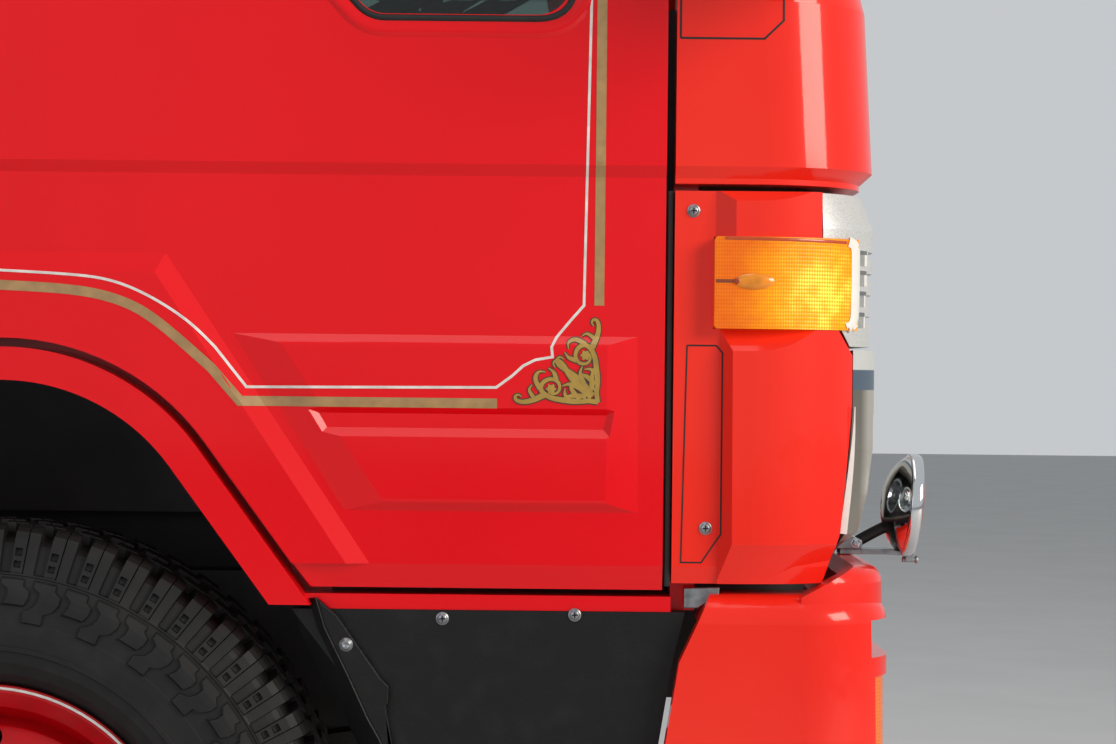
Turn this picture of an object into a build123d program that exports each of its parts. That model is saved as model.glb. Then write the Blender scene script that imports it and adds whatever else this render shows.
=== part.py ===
from build123d import *
import os
from math import atan2, cos, degrees, hypot, pi, radians, sin, sqrt, tan

# A light four-wheel-drive crew-cab fire engine with a forward-control cab: a pump and
# equipment body behind four doors, twin rear wheels, and red lamps on the front bumper.
# X points forward, Y to the left and Z up, with the origin on the ground under the
# middle of the truck. Places along the truck are given ahead of the front axle.

# Overall sizes
overall_length = 5400
lamp_reach = 1085
wheelbase = 2900
front_x = overall_length / 2 - lamp_reach
tail = -overall_length / 2 - front_x
bumper_front = 1025
nose_reach = bumper_front + 75
body_back = -tail - 115
body_half = 893
body_wall = 35

# Wheels and tyres
tyre_radius = 403
tyre_half_width = 112
tread_half_width = 93
bead_radius = 204
flange_radius = 221
rim_half_width = 82
rim_wall = 8
front_wheel_y = 770
twin_middle_y = 656
twin_offset = 124
spindle_radius = 30
running_gap = 0.05

# Cab body
cab_half = 889
cab_back = 1200
sill_bottom = 716
door_bottom = 741
door_bevel = 27
shoulder_low = 1202
shoulder_high = 1215
belt_height = 1400
roof_rail = 2060
roof_top = 2160
wall = 50
roof_wall = 40
front_corner = 125
back_corner = 40
roof_round = 60
seam = 8
fit_gap = 0.3

# Height, half width and front face of each section of the cab's outer skin
cab_sections = [
    (sill_bottom, cab_half - 13, 990),
    (door_bottom, cab_half - 8, 992),
    (door_bottom + door_bevel, cab_half, 994),
    (shoulder_low, cab_half, 990),
    (shoulder_high, cab_half + 9, 1004),
    (belt_height, cab_half + 5, 994),
    (roof_rail, 822, 822),
    (roof_top, 800, 792),
]

# Front wheel arch of the cab, measured from the wheel's centre
arch_top = 1006
arch_vertex = 161
arch_slope = 1.36
arch_round = 270
arch_gap = 10
flare_width = 37
flare_proud = 14

# Doors and windows: front and rear edges, sills and the leaning front pillar
front_door_front = 762
front_door_rear = -225
rear_door_front = -295
rear_door_rear = -1070
pillar_foot = 1430
pillar_lean = 120
door_top = 2040
window_sill = 1475
window_dip = 1382
window_top = 1985
window_round = 38
far_side = 1200


def at(ahead):
    """The X of a place that lies so far ahead of the front axle."""
    return front_x + ahead


def form(sections, back, inset, top_drop, corner, back_round):
    """A body lofted through rounded plan sections, drawn in by inset all round."""
    with BuildPart() as volume:
        for height, half, front in sections:
            top = height == sections[-1][0]
            with BuildSketch(Plane.XY.offset(height - (top_drop if top else 0))) as section:
                with Locations((at((front - back) / 2), 0)):
                    Rectangle(front + back - 2 * inset, 2 * (half - inset))
                ends = section.vertices().group_by(Axis.X)
                fillet(ends[-1], corner - inset)
                fillet(ends[0], max(back_round - inset, 8))
        loft(ruled=True)
    return volume.part


def cab_form(inset, roof_inset):
    """The cab's outer form drawn in by a wall, with its roof edge rounded."""
    with BuildPart() as volume:
        add(form(cab_sections, cab_back, inset, roof_inset, front_corner, back_corner))
        fillet(volume.faces().sort_by(Axis.Z)[-1].edges(), roof_round - inset)
    return volume.part


def side_prism(points, rounds=0, near=0, far=far_side, centre=0):
    """A block with that outline in side view, from near to far on the right side."""
    with BuildPart() as prism:
        with BuildSketch(Plane.XZ.offset(near)) as outline:
            with BuildLine():
                Polyline([(at(centre + x), z) for x, z in points], close=True)
            make_face()
            if rounds:
                fillet(outline.vertices(), rounds)
        extrude(amount=far - near)
    return prism.part


def arch_points(grow, foot, top=arch_top, vertex=arch_vertex, slope=arch_slope):
    """A wheel arch's outline, moved out by grow and carried down to foot."""
    corner = vertex + grow * (hypot(1, slope) - 1) / slope
    low = corner + (top + grow - foot) / slope
    return [(low, foot), (corner, top + grow), (-corner, top + grow), (-low, foot)]


def arch_prism(grow, foot, near=0, far=far_side, centre=0, **shape):
    """A block with the arch's outline, its two upper corners rounded."""
    points = arch_points(grow, foot, **shape)
    with BuildPart() as prism:
        with BuildSketch(Plane.XZ.offset(near)) as outline:
            with BuildLine():
                Polyline([(at(centre + x), z) for x, z in points], close=True)
            make_face()
            fillet(outline.vertices().group_by(Axis.Y)[-1], arch_round + grow)
        extrude(amount=far - near)
    return prism.part


def pressing(low_points, high_points, low_y, high_y, edge_round=0):
    """A pressed pad on the right side, from one outline to a smaller one further out."""
    with BuildPart() as pad:
        for points, depth in ((low_points, low_y), (high_points, high_y)):
            with BuildSketch(Plane.XZ.offset(depth)):
                with BuildLine():
                    Polyline([(at(x), z) for x, z in points], close=True)
                make_face()
        loft(ruled=True)
        if edge_round:
            fillet(pad.faces().sort_by(Axis.Y)[0].edges(), edge_round)
    return pad.part


def block(x_range, y_range, z_range):
    """A plain block between two corners, X ahead of the front axle."""
    (x0, x1), (y0, y1), (z0, z1) = x_range, y_range, z_range
    with BuildPart() as made:
        with Locations((at((x0 + x1) / 2), (y0 + y1) / 2, (z0 + z1) / 2)):
            Box(abs(x1 - x0), abs(y1 - y0), abs(z1 - z0))
    return made.part


def rod(start, end, radius):
    """A round bar between two points, X ahead of the front axle."""
    a = Vector(at(start[0]), start[1], start[2])
    b = Vector(at(end[0]), end[1], end[2])
    with BuildPart() as made:
        with BuildSketch(Plane(origin=a, z_dir=b - a)):
            Circle(radius)
        extrude(amount=(b - a).length)
    return made.part


def turned(points, x, y, z, outward=-1):
    """A ring turned about an axis across the truck. Points are radius and distance
    outward from the middle plane."""
    with BuildPart() as made:
        with BuildSketch(Plane(origin=(x, y, z), x_dir=(0, 0, 1), z_dir=(-outward, 0, 0))):
            with BuildLine():
                Polyline(points, close=True)
            make_face()
        revolve(axis=Axis((x, y, z), (0, 1, 0)))
    return made.part


def pair(part):
    """The right-hand piece and its mirror image, as the solids of one node."""
    return Compound(children=[*part.solids(), *mirror(part, about=Plane.XZ).solids()])


def keep(name, part):
    """Labels a finished piece and writes it as a node of its own."""
    part.label = name
    export_step(part, f"parts/{name}.step")


os.makedirs("parts", exist_ok=True)

cab_outer = cab_form(0, 0)
with BuildPart() as cab_skin:
    add(cab_outer)
    add(cab_form(wall, roof_wall), mode=Mode.SUBTRACT)
glass_inset = 16
glass_thickness = 5
with BuildPart() as glass_skin:
    add(cab_form(glass_inset, glass_inset))
    add(cab_form(glass_inset + glass_thickness, glass_inset + glass_thickness), mode=Mode.SUBTRACT)

# Doors: a slab of the cab's skin, with the arch band, the stepped pad and its groove
# pressed proud of it
band_height = 9
band_top = 1117
band_vertex = 206
band_slope = 1.49
band_bevel = 26
band_foot = door_bottom + door_bevel
pad_height = 9
pressed_round = 8
groove_depth = 7
pad_low = [(735, 1025), (738, 826), (401, 826), (273, 1025)]
pad_high = [(698, 1014), (697, 838), (449, 838), (333, 1014)]
groove_low = [(698, 936), (694, 920), (386, 920), (376, 936)]
groove_high = [(716, 946), (706, 906), (372, 906), (348, 946)]


def pillar_x(height, edge):
    """The X of the front pillar's leaning edge at a height."""
    return edge - max(0, height - pillar_foot) * pillar_lean / (door_top - pillar_foot)


front_door_outline = [
    (front_door_front, door_bottom),
    (front_door_front, pillar_foot),
    (pillar_x(door_top, front_door_front), door_top),
    (front_door_rear, door_top),
    (front_door_rear, door_bottom),
]
rear_door_outline = [
    (rear_door_front, door_bottom),
    (rear_door_front, door_top),
    (rear_door_rear, door_top),
    (rear_door_rear, door_bottom),
]
front_window = [
    (655, window_dip),
    (652, pillar_foot + 30),
    (pillar_x(window_top, 655), window_top),
    (-150, window_top),
    (-150, window_sill),
    (345, window_sill),
    (430, window_dip),
]
rear_window = [
    (-365, window_sill),
    (-365, window_top),
    (-1000, window_top),
    (-1000, window_sill),
]
band_args = dict(top=band_top, vertex=band_vertex, slope=band_slope)
band_outer = arch_points(0, band_foot, **band_args)
band_inner = arch_points(-band_bevel, band_foot, **band_args)
band = pressing(band_outer, band_inner, cab_half - 2, cab_half + band_height)
pad = pressing(pad_low, pad_high, cab_half - 1, cab_half + pad_height, pressed_round)
groove = pressing(groove_low, groove_high, cab_half + pad_height - groove_depth, cab_half + pad_height + 3)
door_arch = arch_prism(arch_gap, sill_bottom - 50)

for door, outline, window in (
    ("front_door", front_door_outline, front_window),
    ("rear_door", rear_door_outline, rear_window),
):
    with BuildPart() as slab:
        add(cab_skin.part)
        add(side_prism(outline), mode=Mode.INTERSECT)
        add(side_prism(window, window_round), mode=Mode.SUBTRACT)
    with BuildPart() as raised:
        add(band)
        add(side_prism(outline), mode=Mode.INTERSECT)
    with BuildPart() as panel:
        add(slab.part)
        add(raised.part)
        if door == "front_door":
            add(pad)
            add(groove, mode=Mode.SUBTRACT)
        add(door_arch, mode=Mode.SUBTRACT)
    with BuildPart() as pane:
        add(glass_skin.part)
        add(side_prism(window, window_round), mode=Mode.INTERSECT)
    keep(f"{door}_right", panel.part)
    keep(f"{door}_left", mirror(panel.part, about=Plane.XZ))
    keep(f"{door}_glass_right", pane.part)
    keep(f"{door}_glass_left", mirror(pane.part, about=Plane.XZ))

# Cab panels
roof_seam = door_top + seam
nose_low = 1196
post_front = front_door_front + arch_gap
back_seam = rear_door_rear - 80
screen_low = 1425
screen_high = 2010
screen_half_low = 790
screen_half_high = 735
screen_round = 60
inner_post = 790
ring_outer = cab_half - wall - 15
ring_half = 22
panel_wall = 30

with BuildPart() as cab_roof:
    add(cab_skin.part)
    add(block((-cab_back - 10, nose_reach), (-1000, 1000), (roof_seam, roof_top + 10)), mode=Mode.INTERSECT)
keep("cab_roof", cab_roof.part)

with BuildPart() as cab_rear_panel:
    add(cab_skin.part)
    add(block((-cab_back - 10, back_seam), (-1000, 1000), (sill_bottom, roof_seam)), mode=Mode.INTERSECT)
    add(block((-cab_back - 10, back_seam), (-inner_post, inner_post), (700, 728)), mode=Mode.SUBTRACT)
keep("cab_back", cab_rear_panel.part)

with BuildPart() as screen_opening:
    with BuildSketch(Plane.YZ.offset(at(600))) as opening:
        with BuildLine():
            Polyline(
                (screen_half_low, screen_low),
                (screen_half_high, screen_high),
                (-screen_half_high, screen_high),
                (-screen_half_low, screen_low),
                close=True,
            )
        make_face()
        fillet(opening.vertices(), screen_round)
    extrude(amount=600)

nose_outline = [
    (post_front, nose_low),
    (post_front, pillar_foot + 4),
    (pillar_x(door_top, post_front), roof_seam),
    (nose_reach, roof_seam),
    (nose_reach, nose_low),
]
with BuildPart() as cab_nose:
    add(cab_skin.part)
    add(side_prism(nose_outline, 0, -far_side), mode=Mode.INTERSECT)
    add(screen_opening.part, mode=Mode.SUBTRACT)
keep("cab_nose", cab_nose.part)

with BuildPart() as windscreen:
    add(glass_skin.part)
    add(screen_opening.part, mode=Mode.INTERSECT)
keep("windscreen", windscreen.part)

# Side frames: sills, door posts and the wheelhouse ring behind the doors
post_outer = 850
hinge_depth = 12
front_hinges = (830, 1110)
rear_hinges = (1010, 1320)
corner_bottom = 749
corner_top = 1188
side_outline = [
    (back_seam, sill_bottom),
    (back_seam, roof_seam),
    (front_door_rear - seam, roof_seam),
    (front_door_rear - seam, sill_bottom),
]
rear_opening = [
    (rear_door_front + seam, sill_bottom + 17),
    (rear_door_front + seam, roof_seam),
    (rear_door_rear - seam, roof_seam),
    (rear_door_rear - seam, sill_bottom + 17),
]
sill_top = sill_bottom + 17
with BuildPart() as cab_side:
    add(cab_skin.part)
    add(side_prism(side_outline), mode=Mode.INTERSECT)
    add(side_prism(rear_opening), mode=Mode.SUBTRACT)
    add(block((-arch_vertex, post_front), (-cab_half + 13, -inner_post), (sill_bottom, sill_top)))
    add(block((back_seam, -arch_vertex), (-cab_half + 13, -inner_post), (sill_bottom, sill_top)))
    post_x = (rear_door_front + seam, front_door_rear - seam)
    add(block(post_x, (-cab_half + wall, -inner_post), (870, belt_height)))
    add(arch_prism(0, sill_bottom - 50), mode=Mode.SUBTRACT)
    add(block((post_front, post_front + 28), (-post_outer, -inner_post), (sill_bottom, nose_low)))
    add(
        block(
            (post_front, post_front + 28),
            (-cab_half + panel_wall + fit_gap, -inner_post),
            (band_foot + 15, corner_top - 8),
        )
    )
    hinge_y = (-post_outer + 1, -post_outer + 1 + hinge_depth)
    for height in front_hinges:
        add(block((front_door_front + fit_gap, post_front + 5), hinge_y, (height - 25, height + 25)))
    for height in rear_hinges:
        edge = rear_door_front
        add(block((edge + fit_gap, edge + seam + 5), hinge_y, (height - 25, height + 25)))
with BuildPart() as wheelhouse:
    add(arch_prism(ring_half, sill_bottom, inner_post, ring_outer))
    add(arch_prism(-ring_half, sill_bottom - 60), mode=Mode.SUBTRACT)
with BuildPart() as cab_side_frame:
    add(cab_side.part)
    add(wheelhouse.part)
keep("cab_sides", pair(cab_side_frame.part))

with BuildPart() as flare:
    add(arch_prism(0, sill_bottom + 6, ring_outer, cab_half + flare_proud))
    add(arch_prism(-flare_width, sill_bottom - 60), mode=Mode.SUBTRACT)
    # Its two halves meet over the wheel
    add(block((0, fit_gap), (-far_side, 0), (arch_top - 60, arch_top + 10)), mode=Mode.SUBTRACT)


# Front corner panels: a flat flange beside the door and a bulge with bevelled edges
# round the corner, open for the turn lamp and cut off at the silver front's seam
corner_wall = panel_wall
bulge_proud = 18
lamp_rear = 816
lamp_low = 1034
lamp_high = 1137
lamp_gap = fit_gap
lamp_proud = 3
lamp_inner_y = 849
seam_gap = 1
corner_inner_y = 835
front_panel_top = 1012
bulge_sections = [
    (corner_bottom, cab_half - 2, 984),
    (corner_bottom + 45, cab_half + bulge_proud, 1003),
    (corner_top, cab_half + bulge_proud - 2, 1009),
]
low_seam = [(943, corner_bottom), (963, 806), (976, 940), (976, 1006), (958, lamp_low)]
high_seam = [(937, lamp_high), (937, corner_top)]
corner_outline = [
    (post_front, corner_bottom),
    *low_seam,
    (nose_reach, lamp_low),
    (nose_reach, lamp_high),
    *high_seam,
    (post_front, corner_top),
]
low_pad = [(823, lamp_low), (823, corner_bottom), (nose_reach, corner_bottom), (nose_reach, lamp_low)]
low_pad_face = [(838, 1008), (838, corner_bottom), (nose_reach, corner_bottom), (nose_reach, 1008)]
high_pad = [(818, corner_top + 3), (818, lamp_high), (nose_reach, lamp_high), (nose_reach, corner_top + 3)]
high_pad_face = [(842, 1175), (842, lamp_high), (nose_reach, lamp_high), (nose_reach, 1175)]
bulge_volume = form(bulge_sections, cab_back, 0, 0, front_corner + bulge_proud, back_corner)
with BuildPart() as bulge_zone:
    for outline, face in ((low_pad, low_pad_face), (high_pad, high_pad_face)):
        add(side_prism(outline, 0, 500, cab_half))
        add(pressing(outline, face, cab_half, cab_half + bulge_proud))
with BuildPart() as bulge:
    add(bulge_volume)
    add(bulge_zone.part, mode=Mode.INTERSECT)
with BuildPart() as corner_panel:
    add(cab_outer)
    add(bulge.part)
    add(cab_form(corner_wall, corner_wall), mode=Mode.SUBTRACT)
    add(side_prism(corner_outline, 0, corner_inner_y), mode=Mode.INTERSECT)
    add(block((lamp_rear - lamp_gap, nose_reach), (-1000, 0), (lamp_low, lamp_high)), mode=Mode.SUBTRACT)
keep("corner_panels", pair(corner_panel.part))

# Turn lamps: one round each front corner and one low in the bumper
with BuildPart() as turn_lamp:
    add(form(bulge_sections, cab_back, -lamp_proud, 0, front_corner + bulge_proud, back_corner))
    add(form(bulge_sections, cab_back, 36, 0, front_corner + bulge_proud, back_corner), mode=Mode.SUBTRACT)
    add(
        block((lamp_rear, nose_reach), (-1000, -lamp_inner_y), (lamp_low + lamp_gap, lamp_high - lamp_gap)),
        mode=Mode.INTERSECT,
    )
    fillet(turn_lamp.edges().filter_by(Axis.Y).group_by(Axis.X)[0], 4)

# Grille and lamp surround across the front, behind the corner panels' seam
grille_front = 1006
grille_low = front_panel_top + 4
slot_rows = 4
slot_pitch = 24.5
slot_height = 9
slot_end_y = 822
surround_low = 765
surround_front = 1010
surround_wall = 40
surround_back = surround_front - surround_wall + 1 - fit_gap
grille_wall = 24
bar_rear = 972
bar_wall = 24
headlamp_low = 800
headlamp_high = 938
headlamp_inner_y = 560
headlamp_outer_y = 792
headlamp_inset = 27
grille_sections = [
    (grille_low, cab_half + 10, grille_front - 4),
    (corner_top - 40, cab_half + 10, grille_front),
    (corner_top, cab_half + 5, grille_front - 14),
]
grille_outline = [
    (low_seam[-2][0] + seam_gap, grille_low),
    (low_seam[-2][0] + seam_gap, 1008),
    (low_seam[-1][0] + seam_gap + 3, lamp_low),
    (high_seam[0][0] + seam_gap, lamp_low),
    (high_seam[0][0] + seam_gap, corner_top),
    (nose_reach, corner_top),
    (nose_reach, grille_low),
]
lamp_slot = block(
    (900, nose_reach),
    (-1000, -lamp_inner_y + lamp_gap),
    (lamp_low, lamp_high),
)
with BuildPart() as grille:
    add(form(grille_sections, cab_back, 0, 0, front_corner, back_corner))
    add(form(grille_sections, cab_back, grille_wall, 0, front_corner, back_corner), mode=Mode.SUBTRACT)
    add(side_prism(grille_outline, 0, -far_side), mode=Mode.INTERSECT)
    for row in range(slot_rows):
        low = lamp_low + 8 + row * slot_pitch
        add(block((900, nose_reach), (-slot_end_y, slot_end_y), (low, low + slot_height)), mode=Mode.SUBTRACT)
    add(lamp_slot, mode=Mode.SUBTRACT)
    add(mirror(lamp_slot, about=Plane.XZ), mode=Mode.SUBTRACT)
keep("grille", grille.part)

surround_sections = [
    (surround_low, cab_half, 955),
    (787, cab_half, 972),
    (803, cab_half, 993),
    (847, cab_half, 1004),
    (900, cab_half, surround_front),
    (front_panel_top, cab_half, surround_front),
]
surround_outline = [
    (low_seam[0][0] + 9, surround_low),
    (bar_rear, 806),
    (bar_rear, 885),
    (low_seam[2][0] + seam_gap, low_seam[2][1]),
    (low_seam[2][0] + seam_gap, front_panel_top),
    (nose_reach, front_panel_top),
    (nose_reach, surround_low),
]
headlamp_zone = block(
    (880, nose_reach), (-cab_half - 10, -headlamp_inner_y), (headlamp_low, headlamp_high)
)
headlamp_window = block(
    (880, nose_reach), (-headlamp_outer_y, -headlamp_inner_y), (headlamp_low, headlamp_high)
)
with BuildPart() as headlamp_pocket:
    add(form(surround_sections, cab_back, bar_wall, 0, front_corner, back_corner))
    add(headlamp_zone, mode=Mode.INTERSECT)
with BuildPart() as lamp_surround:
    add(form(surround_sections, cab_back, 0, 0, front_corner, back_corner))
    add(form(surround_sections, cab_back, surround_wall, 0, front_corner, back_corner), mode=Mode.SUBTRACT)
    add(side_prism(surround_outline, 0, -far_side), mode=Mode.INTERSECT)
    for cutter in (headlamp_window, headlamp_pocket.part):
        add(cutter, mode=Mode.SUBTRACT)
        add(mirror(cutter, about=Plane.XZ), mode=Mode.SUBTRACT)
keep("lamp_surround", lamp_surround.part)

with BuildPart() as headlamp:
    add(form(surround_sections, cab_back, headlamp_inset, 0, front_corner, back_corner))
    add(form(surround_sections, cab_back, surround_wall - 1, 0, front_corner, back_corner), mode=Mode.SUBTRACT)
    add(
        block(
            (880, nose_reach),
            (-corner_inner_y + seam_gap, -headlamp_inner_y - fit_gap),
            (headlamp_low + fit_gap, headlamp_high - fit_gap),
        ),
        mode=Mode.INTERSECT,
    )
keep("headlamps", pair(headlamp.part))

# Front bumper: a wrapped steel channel with a ledge on top and slanted rear edges
bumper_half = 905
bumper_low = 430
bumper_high = 737
bumper_wall = 30
lip_top = 768
lip_rear = 962
lip_round = 20
bumper_corner = 100
bumper_round = 32
ledge_width = 92
bumper_sections = [
    (bumper_low, bumper_half - 12, bumper_front - 16),
    (bumper_low + 55, bumper_half, bumper_front),
    (bumper_high, bumper_half - 2, bumper_front - 3),
]
bumper_edge = [
    (818, lip_top + 5),
    (818, bumper_high + 5),
    (781, 662),
    (766, 569),
    (760, bumper_low - 5),
    (nose_reach, bumper_low - 5),
    (nose_reach, lip_top + 5),
]
slot_inner = 590
slot_outer = 868
slot_low = 666
slot_high = 708
low_lamp_low = 552
low_lamp_high = 644
low_lamp_inner = 620
low_lamp_outer = 862
with BuildPart() as bumper_volume:
    add(form(bumper_sections, cab_back, 0, 0, bumper_corner, back_corner))
    fillet(bumper_volume.faces().sort_by(Axis.Z)[-1].edges(), bumper_round)
lip_sections = [
    (bumper_high - 40, bumper_half - 10, bumper_front - 6),
    (lip_top, bumper_half - 12, bumper_front - 8),
]
lip_outline = [
    (lip_rear - 45, bumper_high - 30),
    (lip_rear - 45, bumper_high - 2),
    (lip_rear + 20, lip_top + 1),
    (nose_reach, lip_top + 1),
    (nose_reach, bumper_high - 30),
]
with BuildPart() as bumper_lip:
    add(form(lip_sections, cab_back, 0, 0, bumper_corner, back_corner))
    fillet(bumper_lip.faces().sort_by(Axis.Z)[-1].edges(), lip_round)
    add(side_prism(lip_outline, 0, -far_side), mode=Mode.INTERSECT)
with BuildPart() as front_bumper:
    add(bumper_volume.part)
    add(bumper_lip.part)
    add(form(bumper_sections, cab_back, bumper_wall, bumper_wall, bumper_corner, back_corner), mode=Mode.SUBTRACT)
    add(side_prism(bumper_edge, 0, -far_side), mode=Mode.INTERSECT)
    ledge = bumper_half - ledge_width
    add(block((700, bumper_front - ledge_width), (-ledge, ledge), (700, 760)), mode=Mode.SUBTRACT)
    add(block((700, lip_rear), (-ledge - 30, ledge + 30), (bumper_high + 0.5, lip_top + 5)), mode=Mode.SUBTRACT)
    for side in (-1, 1):
        add(
            block((960, nose_reach), (side * slot_inner, side * slot_outer), (slot_low, slot_high)),
            mode=Mode.SUBTRACT,
        )
        add(
            block(
                (930, nose_reach),
                (side * (low_lamp_inner - fit_gap), side * (low_lamp_outer + fit_gap)),
                (low_lamp_low - fit_gap, low_lamp_high + fit_gap),
            ),
            mode=Mode.SUBTRACT,
        )
keep("front_bumper", front_bumper.part)

with BuildPart() as low_lamp:
    add(form(bumper_sections, cab_back, 4, 0, bumper_corner, back_corner))
    add(form(bumper_sections, cab_back, bumper_wall - 2, 0, bumper_corner, back_corner), mode=Mode.SUBTRACT)
    add(
        block((935, nose_reach), (-low_lamp_outer, -low_lamp_inner), (low_lamp_low, low_lamp_high)),
        mode=Mode.INTERSECT,
    )
with BuildPart() as front_turn_lamps:
    add(turn_lamp.part)
    add(low_lamp.part)
keep("turn_lamps", pair(front_turn_lamps.part))

# Warning lamps: a bowl, a rim and a domed lens turned about a slightly tilted axis, on
# bracket arms bolted to the bumper's lip
warning_y = 640
warning_z = 830
warning_radius = 62.5
warning_depth = 48
warning_tilt = 5
warning_back = lamp_reach - warning_depth
warning_profile = [(0, 0), (0, 18), (5, 34), (14, 49), (26, 59), (27, 62.5), (39, 62.5), (41, 60), (41, 57), (44, 46), (46, 24), (46.5, 0)]
arm_line = [
    (984, lip_top + fit_gap),
    (1003, lip_top + fit_gap),
    (warning_back + 6, 763),
    (warning_back + 25, 763),
    (warning_back + 25, 769),
    (warning_back - 17, 776),
    (warning_back + 15, 794),
    (warning_back + 12, 800),
    (1000, 780),
    (984, 776),
]
lens_tilt = Vector(cos(radians(warning_tilt)), 0, -sin(radians(warning_tilt)))
with BuildPart() as warning_lamp:
    bowl_back = Vector(at(warning_back), -warning_y, warning_z)
    with BuildSketch(Plane(origin=bowl_back, x_dir=tuple(lens_tilt), z_dir=(0, -1, 0))):
        with BuildLine():
            Polyline(warning_profile, close=True)
        make_face()
    revolve(axis=Axis(tuple(bowl_back), tuple(lens_tilt)))
    add(side_prism(arm_line, 0, warning_y - 20, warning_y + 20))
keep("warning_lamps", pair(warning_lamp.part))

# Aprons below the cab's side: ahead of and behind the front wheel
apron_outer = 878
apron_wall = 14
apron_top = sill_bottom - fit_gap
front_apron = [
    (347, apron_top),
    (461, 569),
    (535, 470),
    (560, 445),
    (754, 445),
    (760, 569),
    (775, 662),
    (788, apron_top),
]
rear_apron = [(-352, apron_top), (-420, 610), (-440, 540), (-cab_back, 540), (-cab_back, apron_top)]
with BuildPart() as apron:
    add(side_prism(front_apron, 0, apron_outer - apron_wall, apron_outer))
    add(side_prism(rear_apron, 0, apron_outer - apron_wall, apron_outer))
    for step_front, step_rear in ((760, 580), (-480, -1150)):
        add(block((step_rear, step_front), (-apron_outer + 2, -690), (548, 566)))
keep("aprons", pair(apron.part))

# Cab floor: a folded plate over the footwells, wheelhouses and engine
floor_half = inner_post - fit_gap
floor_plate = 12
floor_line = [
    (930, 1300),
    (930, 790),
    (395, 790),
    (350, 1045),
    (-350, 1045),
    (-395, 830),
    (-1140, 830),
]
floor_under = [
    (930 - floor_plate, 1301),
    (930 - floor_plate, 790 + floor_plate),
    (405, 790 + floor_plate),
    (360, 1045 + floor_plate),
    (-360, 1045 + floor_plate),
    (-405, 830 + floor_plate),
    (-1141, 830 + floor_plate),
    (-1141, 1301),
]
hump_front = 700
hump_rear = -330
hump_half = 300
hump_top = 1150
with BuildPart() as cab_floor:
    add(side_prism([*floor_line, (-1140, 1300)], 0, -floor_half, floor_half))
    add(side_prism(floor_under, 0, -floor_half - 5, floor_half + 5), mode=Mode.SUBTRACT)
    add(block((hump_rear, hump_front), (-hump_half, hump_half), (792, hump_top)))
    add(
        block(
            (hump_rear + floor_plate, hump_front - floor_plate),
            (-hump_half + floor_plate, hump_half - floor_plate),
            (700, hump_top - floor_plate),
        ),
        mode=Mode.SUBTRACT,
    )
    for side in (-1, 1):
        web = (side * floor_half, side * (floor_half - floor_plate))
        add(block((412, 930), web, (722, 796)))
        add(block((-1140, -410), web, (722, 836)))
        add(block((925, surround_back - 6), (side * 575, side * 690), (880, 900)))
    add(block((925, surround_back - 1), (-700, 700), (984, 1008)))
    add(block((925, grille_front - 4 - grille_wall - fit_gap), (-700, 700), (grille_low + 2, lamp_low)))
keep("cab_floor", cab_floor.part)

# Dashboard with its steering column, and the steering wheel on top of it
wheel_x = 470
wheel_y = -480
wheel_z = 1430
column_lean = 25
steering_radius = 200
column_axis = Vector(-sin(radians(column_lean)), 0, cos(radians(column_lean)))
wheel_centre = Vector(at(wheel_x), wheel_y, wheel_z)
dash_front = 930 - floor_plate - fit_gap
dash_line = [
    (dash_front, 1000),
    (dash_front, 1395),
    (860, 1420),
    (650, 1385),
    (612, 1300),
    (640, 1215),
    (740, 1165),
    (790, 1000),
]


def along_column(distance, radius, length):
    """A round bar on the steering column's axis, down from the wheel's centre."""
    with BuildPart() as bar:
        with BuildSketch(Plane(origin=wheel_centre - column_axis * distance, z_dir=column_axis)):
            Circle(radius)
        extrude(amount=-length)
    return bar.part


with BuildPart() as dashboard:
    add(side_prism(dash_line, 0, -775, 775))
    add(along_column(44 + fit_gap, 26, 634))
    add(block((560, 680), (wheel_y - 30, wheel_y + 30), (1170, 1230)))
keep("dashboard", dashboard.part)

with BuildPart() as steering_wheel:
    with BuildSketch(Plane(origin=wheel_centre, x_dir=(0, 1, 0), z_dir=(cos(radians(column_lean)), 0, sin(radians(column_lean))))):
        with Locations((steering_radius, 0)):
            Circle(14)
    revolve(axis=Axis(tuple(wheel_centre), tuple(column_axis)))
    add(along_column(-4, 48, 48))
    for turn in (90, 210, 330):
        spoke = Plane(origin=wheel_centre - column_axis * 12, z_dir=column_axis).rotated((0, 0, turn))
        with BuildSketch(spoke):
            with Locations((steering_radius / 2 + 10, 0)):
                Rectangle(steering_radius - 20, 26)
        extrude(amount=8)
keep("steering_wheel", steering_wheel.part)

# Seats: two in front, either side of the engine cover, and a bench behind
seat_low = 1045 + floor_plate + fit_gap
bench_low = 830 + floor_plate + fit_gap
with BuildPart() as seats:
    for side in (-1, 1):
        middle = side * 545
        with BuildPart(mode=Mode.PRIVATE) as seat:
            add(block((-130, 370), (middle - 225, middle + 225), (seat_low, 1215)))
            add(block((-210, -110), (middle - 225, middle + 225), (seat_low, 1760)))
            fillet(seat.edges().filter_by(Axis.Y), 24)
        add(seat.part)
    with BuildPart(mode=Mode.PRIVATE) as bench:
        add(block((-1130, -640), (-740, 740), (bench_low, 1215)))
        add(block((-1138, -1050), (-740, 740), (bench_low, 1740)))
        fillet(bench.edges().filter_by(Axis.Y).sort_by(Axis.Z)[4:], 20)
    add(bench.part)
keep("seats", Compound(children=list(seats.part.solids())))

# Light bar on the roof, and the door mirrors on arms from the front pillars
with BuildPart() as light_bar:
    add(block((350, 600), (-650, 650), (2185, 2300)))
    fillet(light_bar.edges().filter_by(Axis.Y), 40)
    fillet(light_bar.faces().sort_by(Axis.Y)[0].edges(), 12)
    fillet(light_bar.faces().sort_by(Axis.Y)[-1].edges(), 12)
    for side in (-1, 1):
        add(block((400, 550), (side * 480 - 50, side * 480 + 50), (roof_top, 2195)))
keep("light_bar", light_bar.part)

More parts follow.
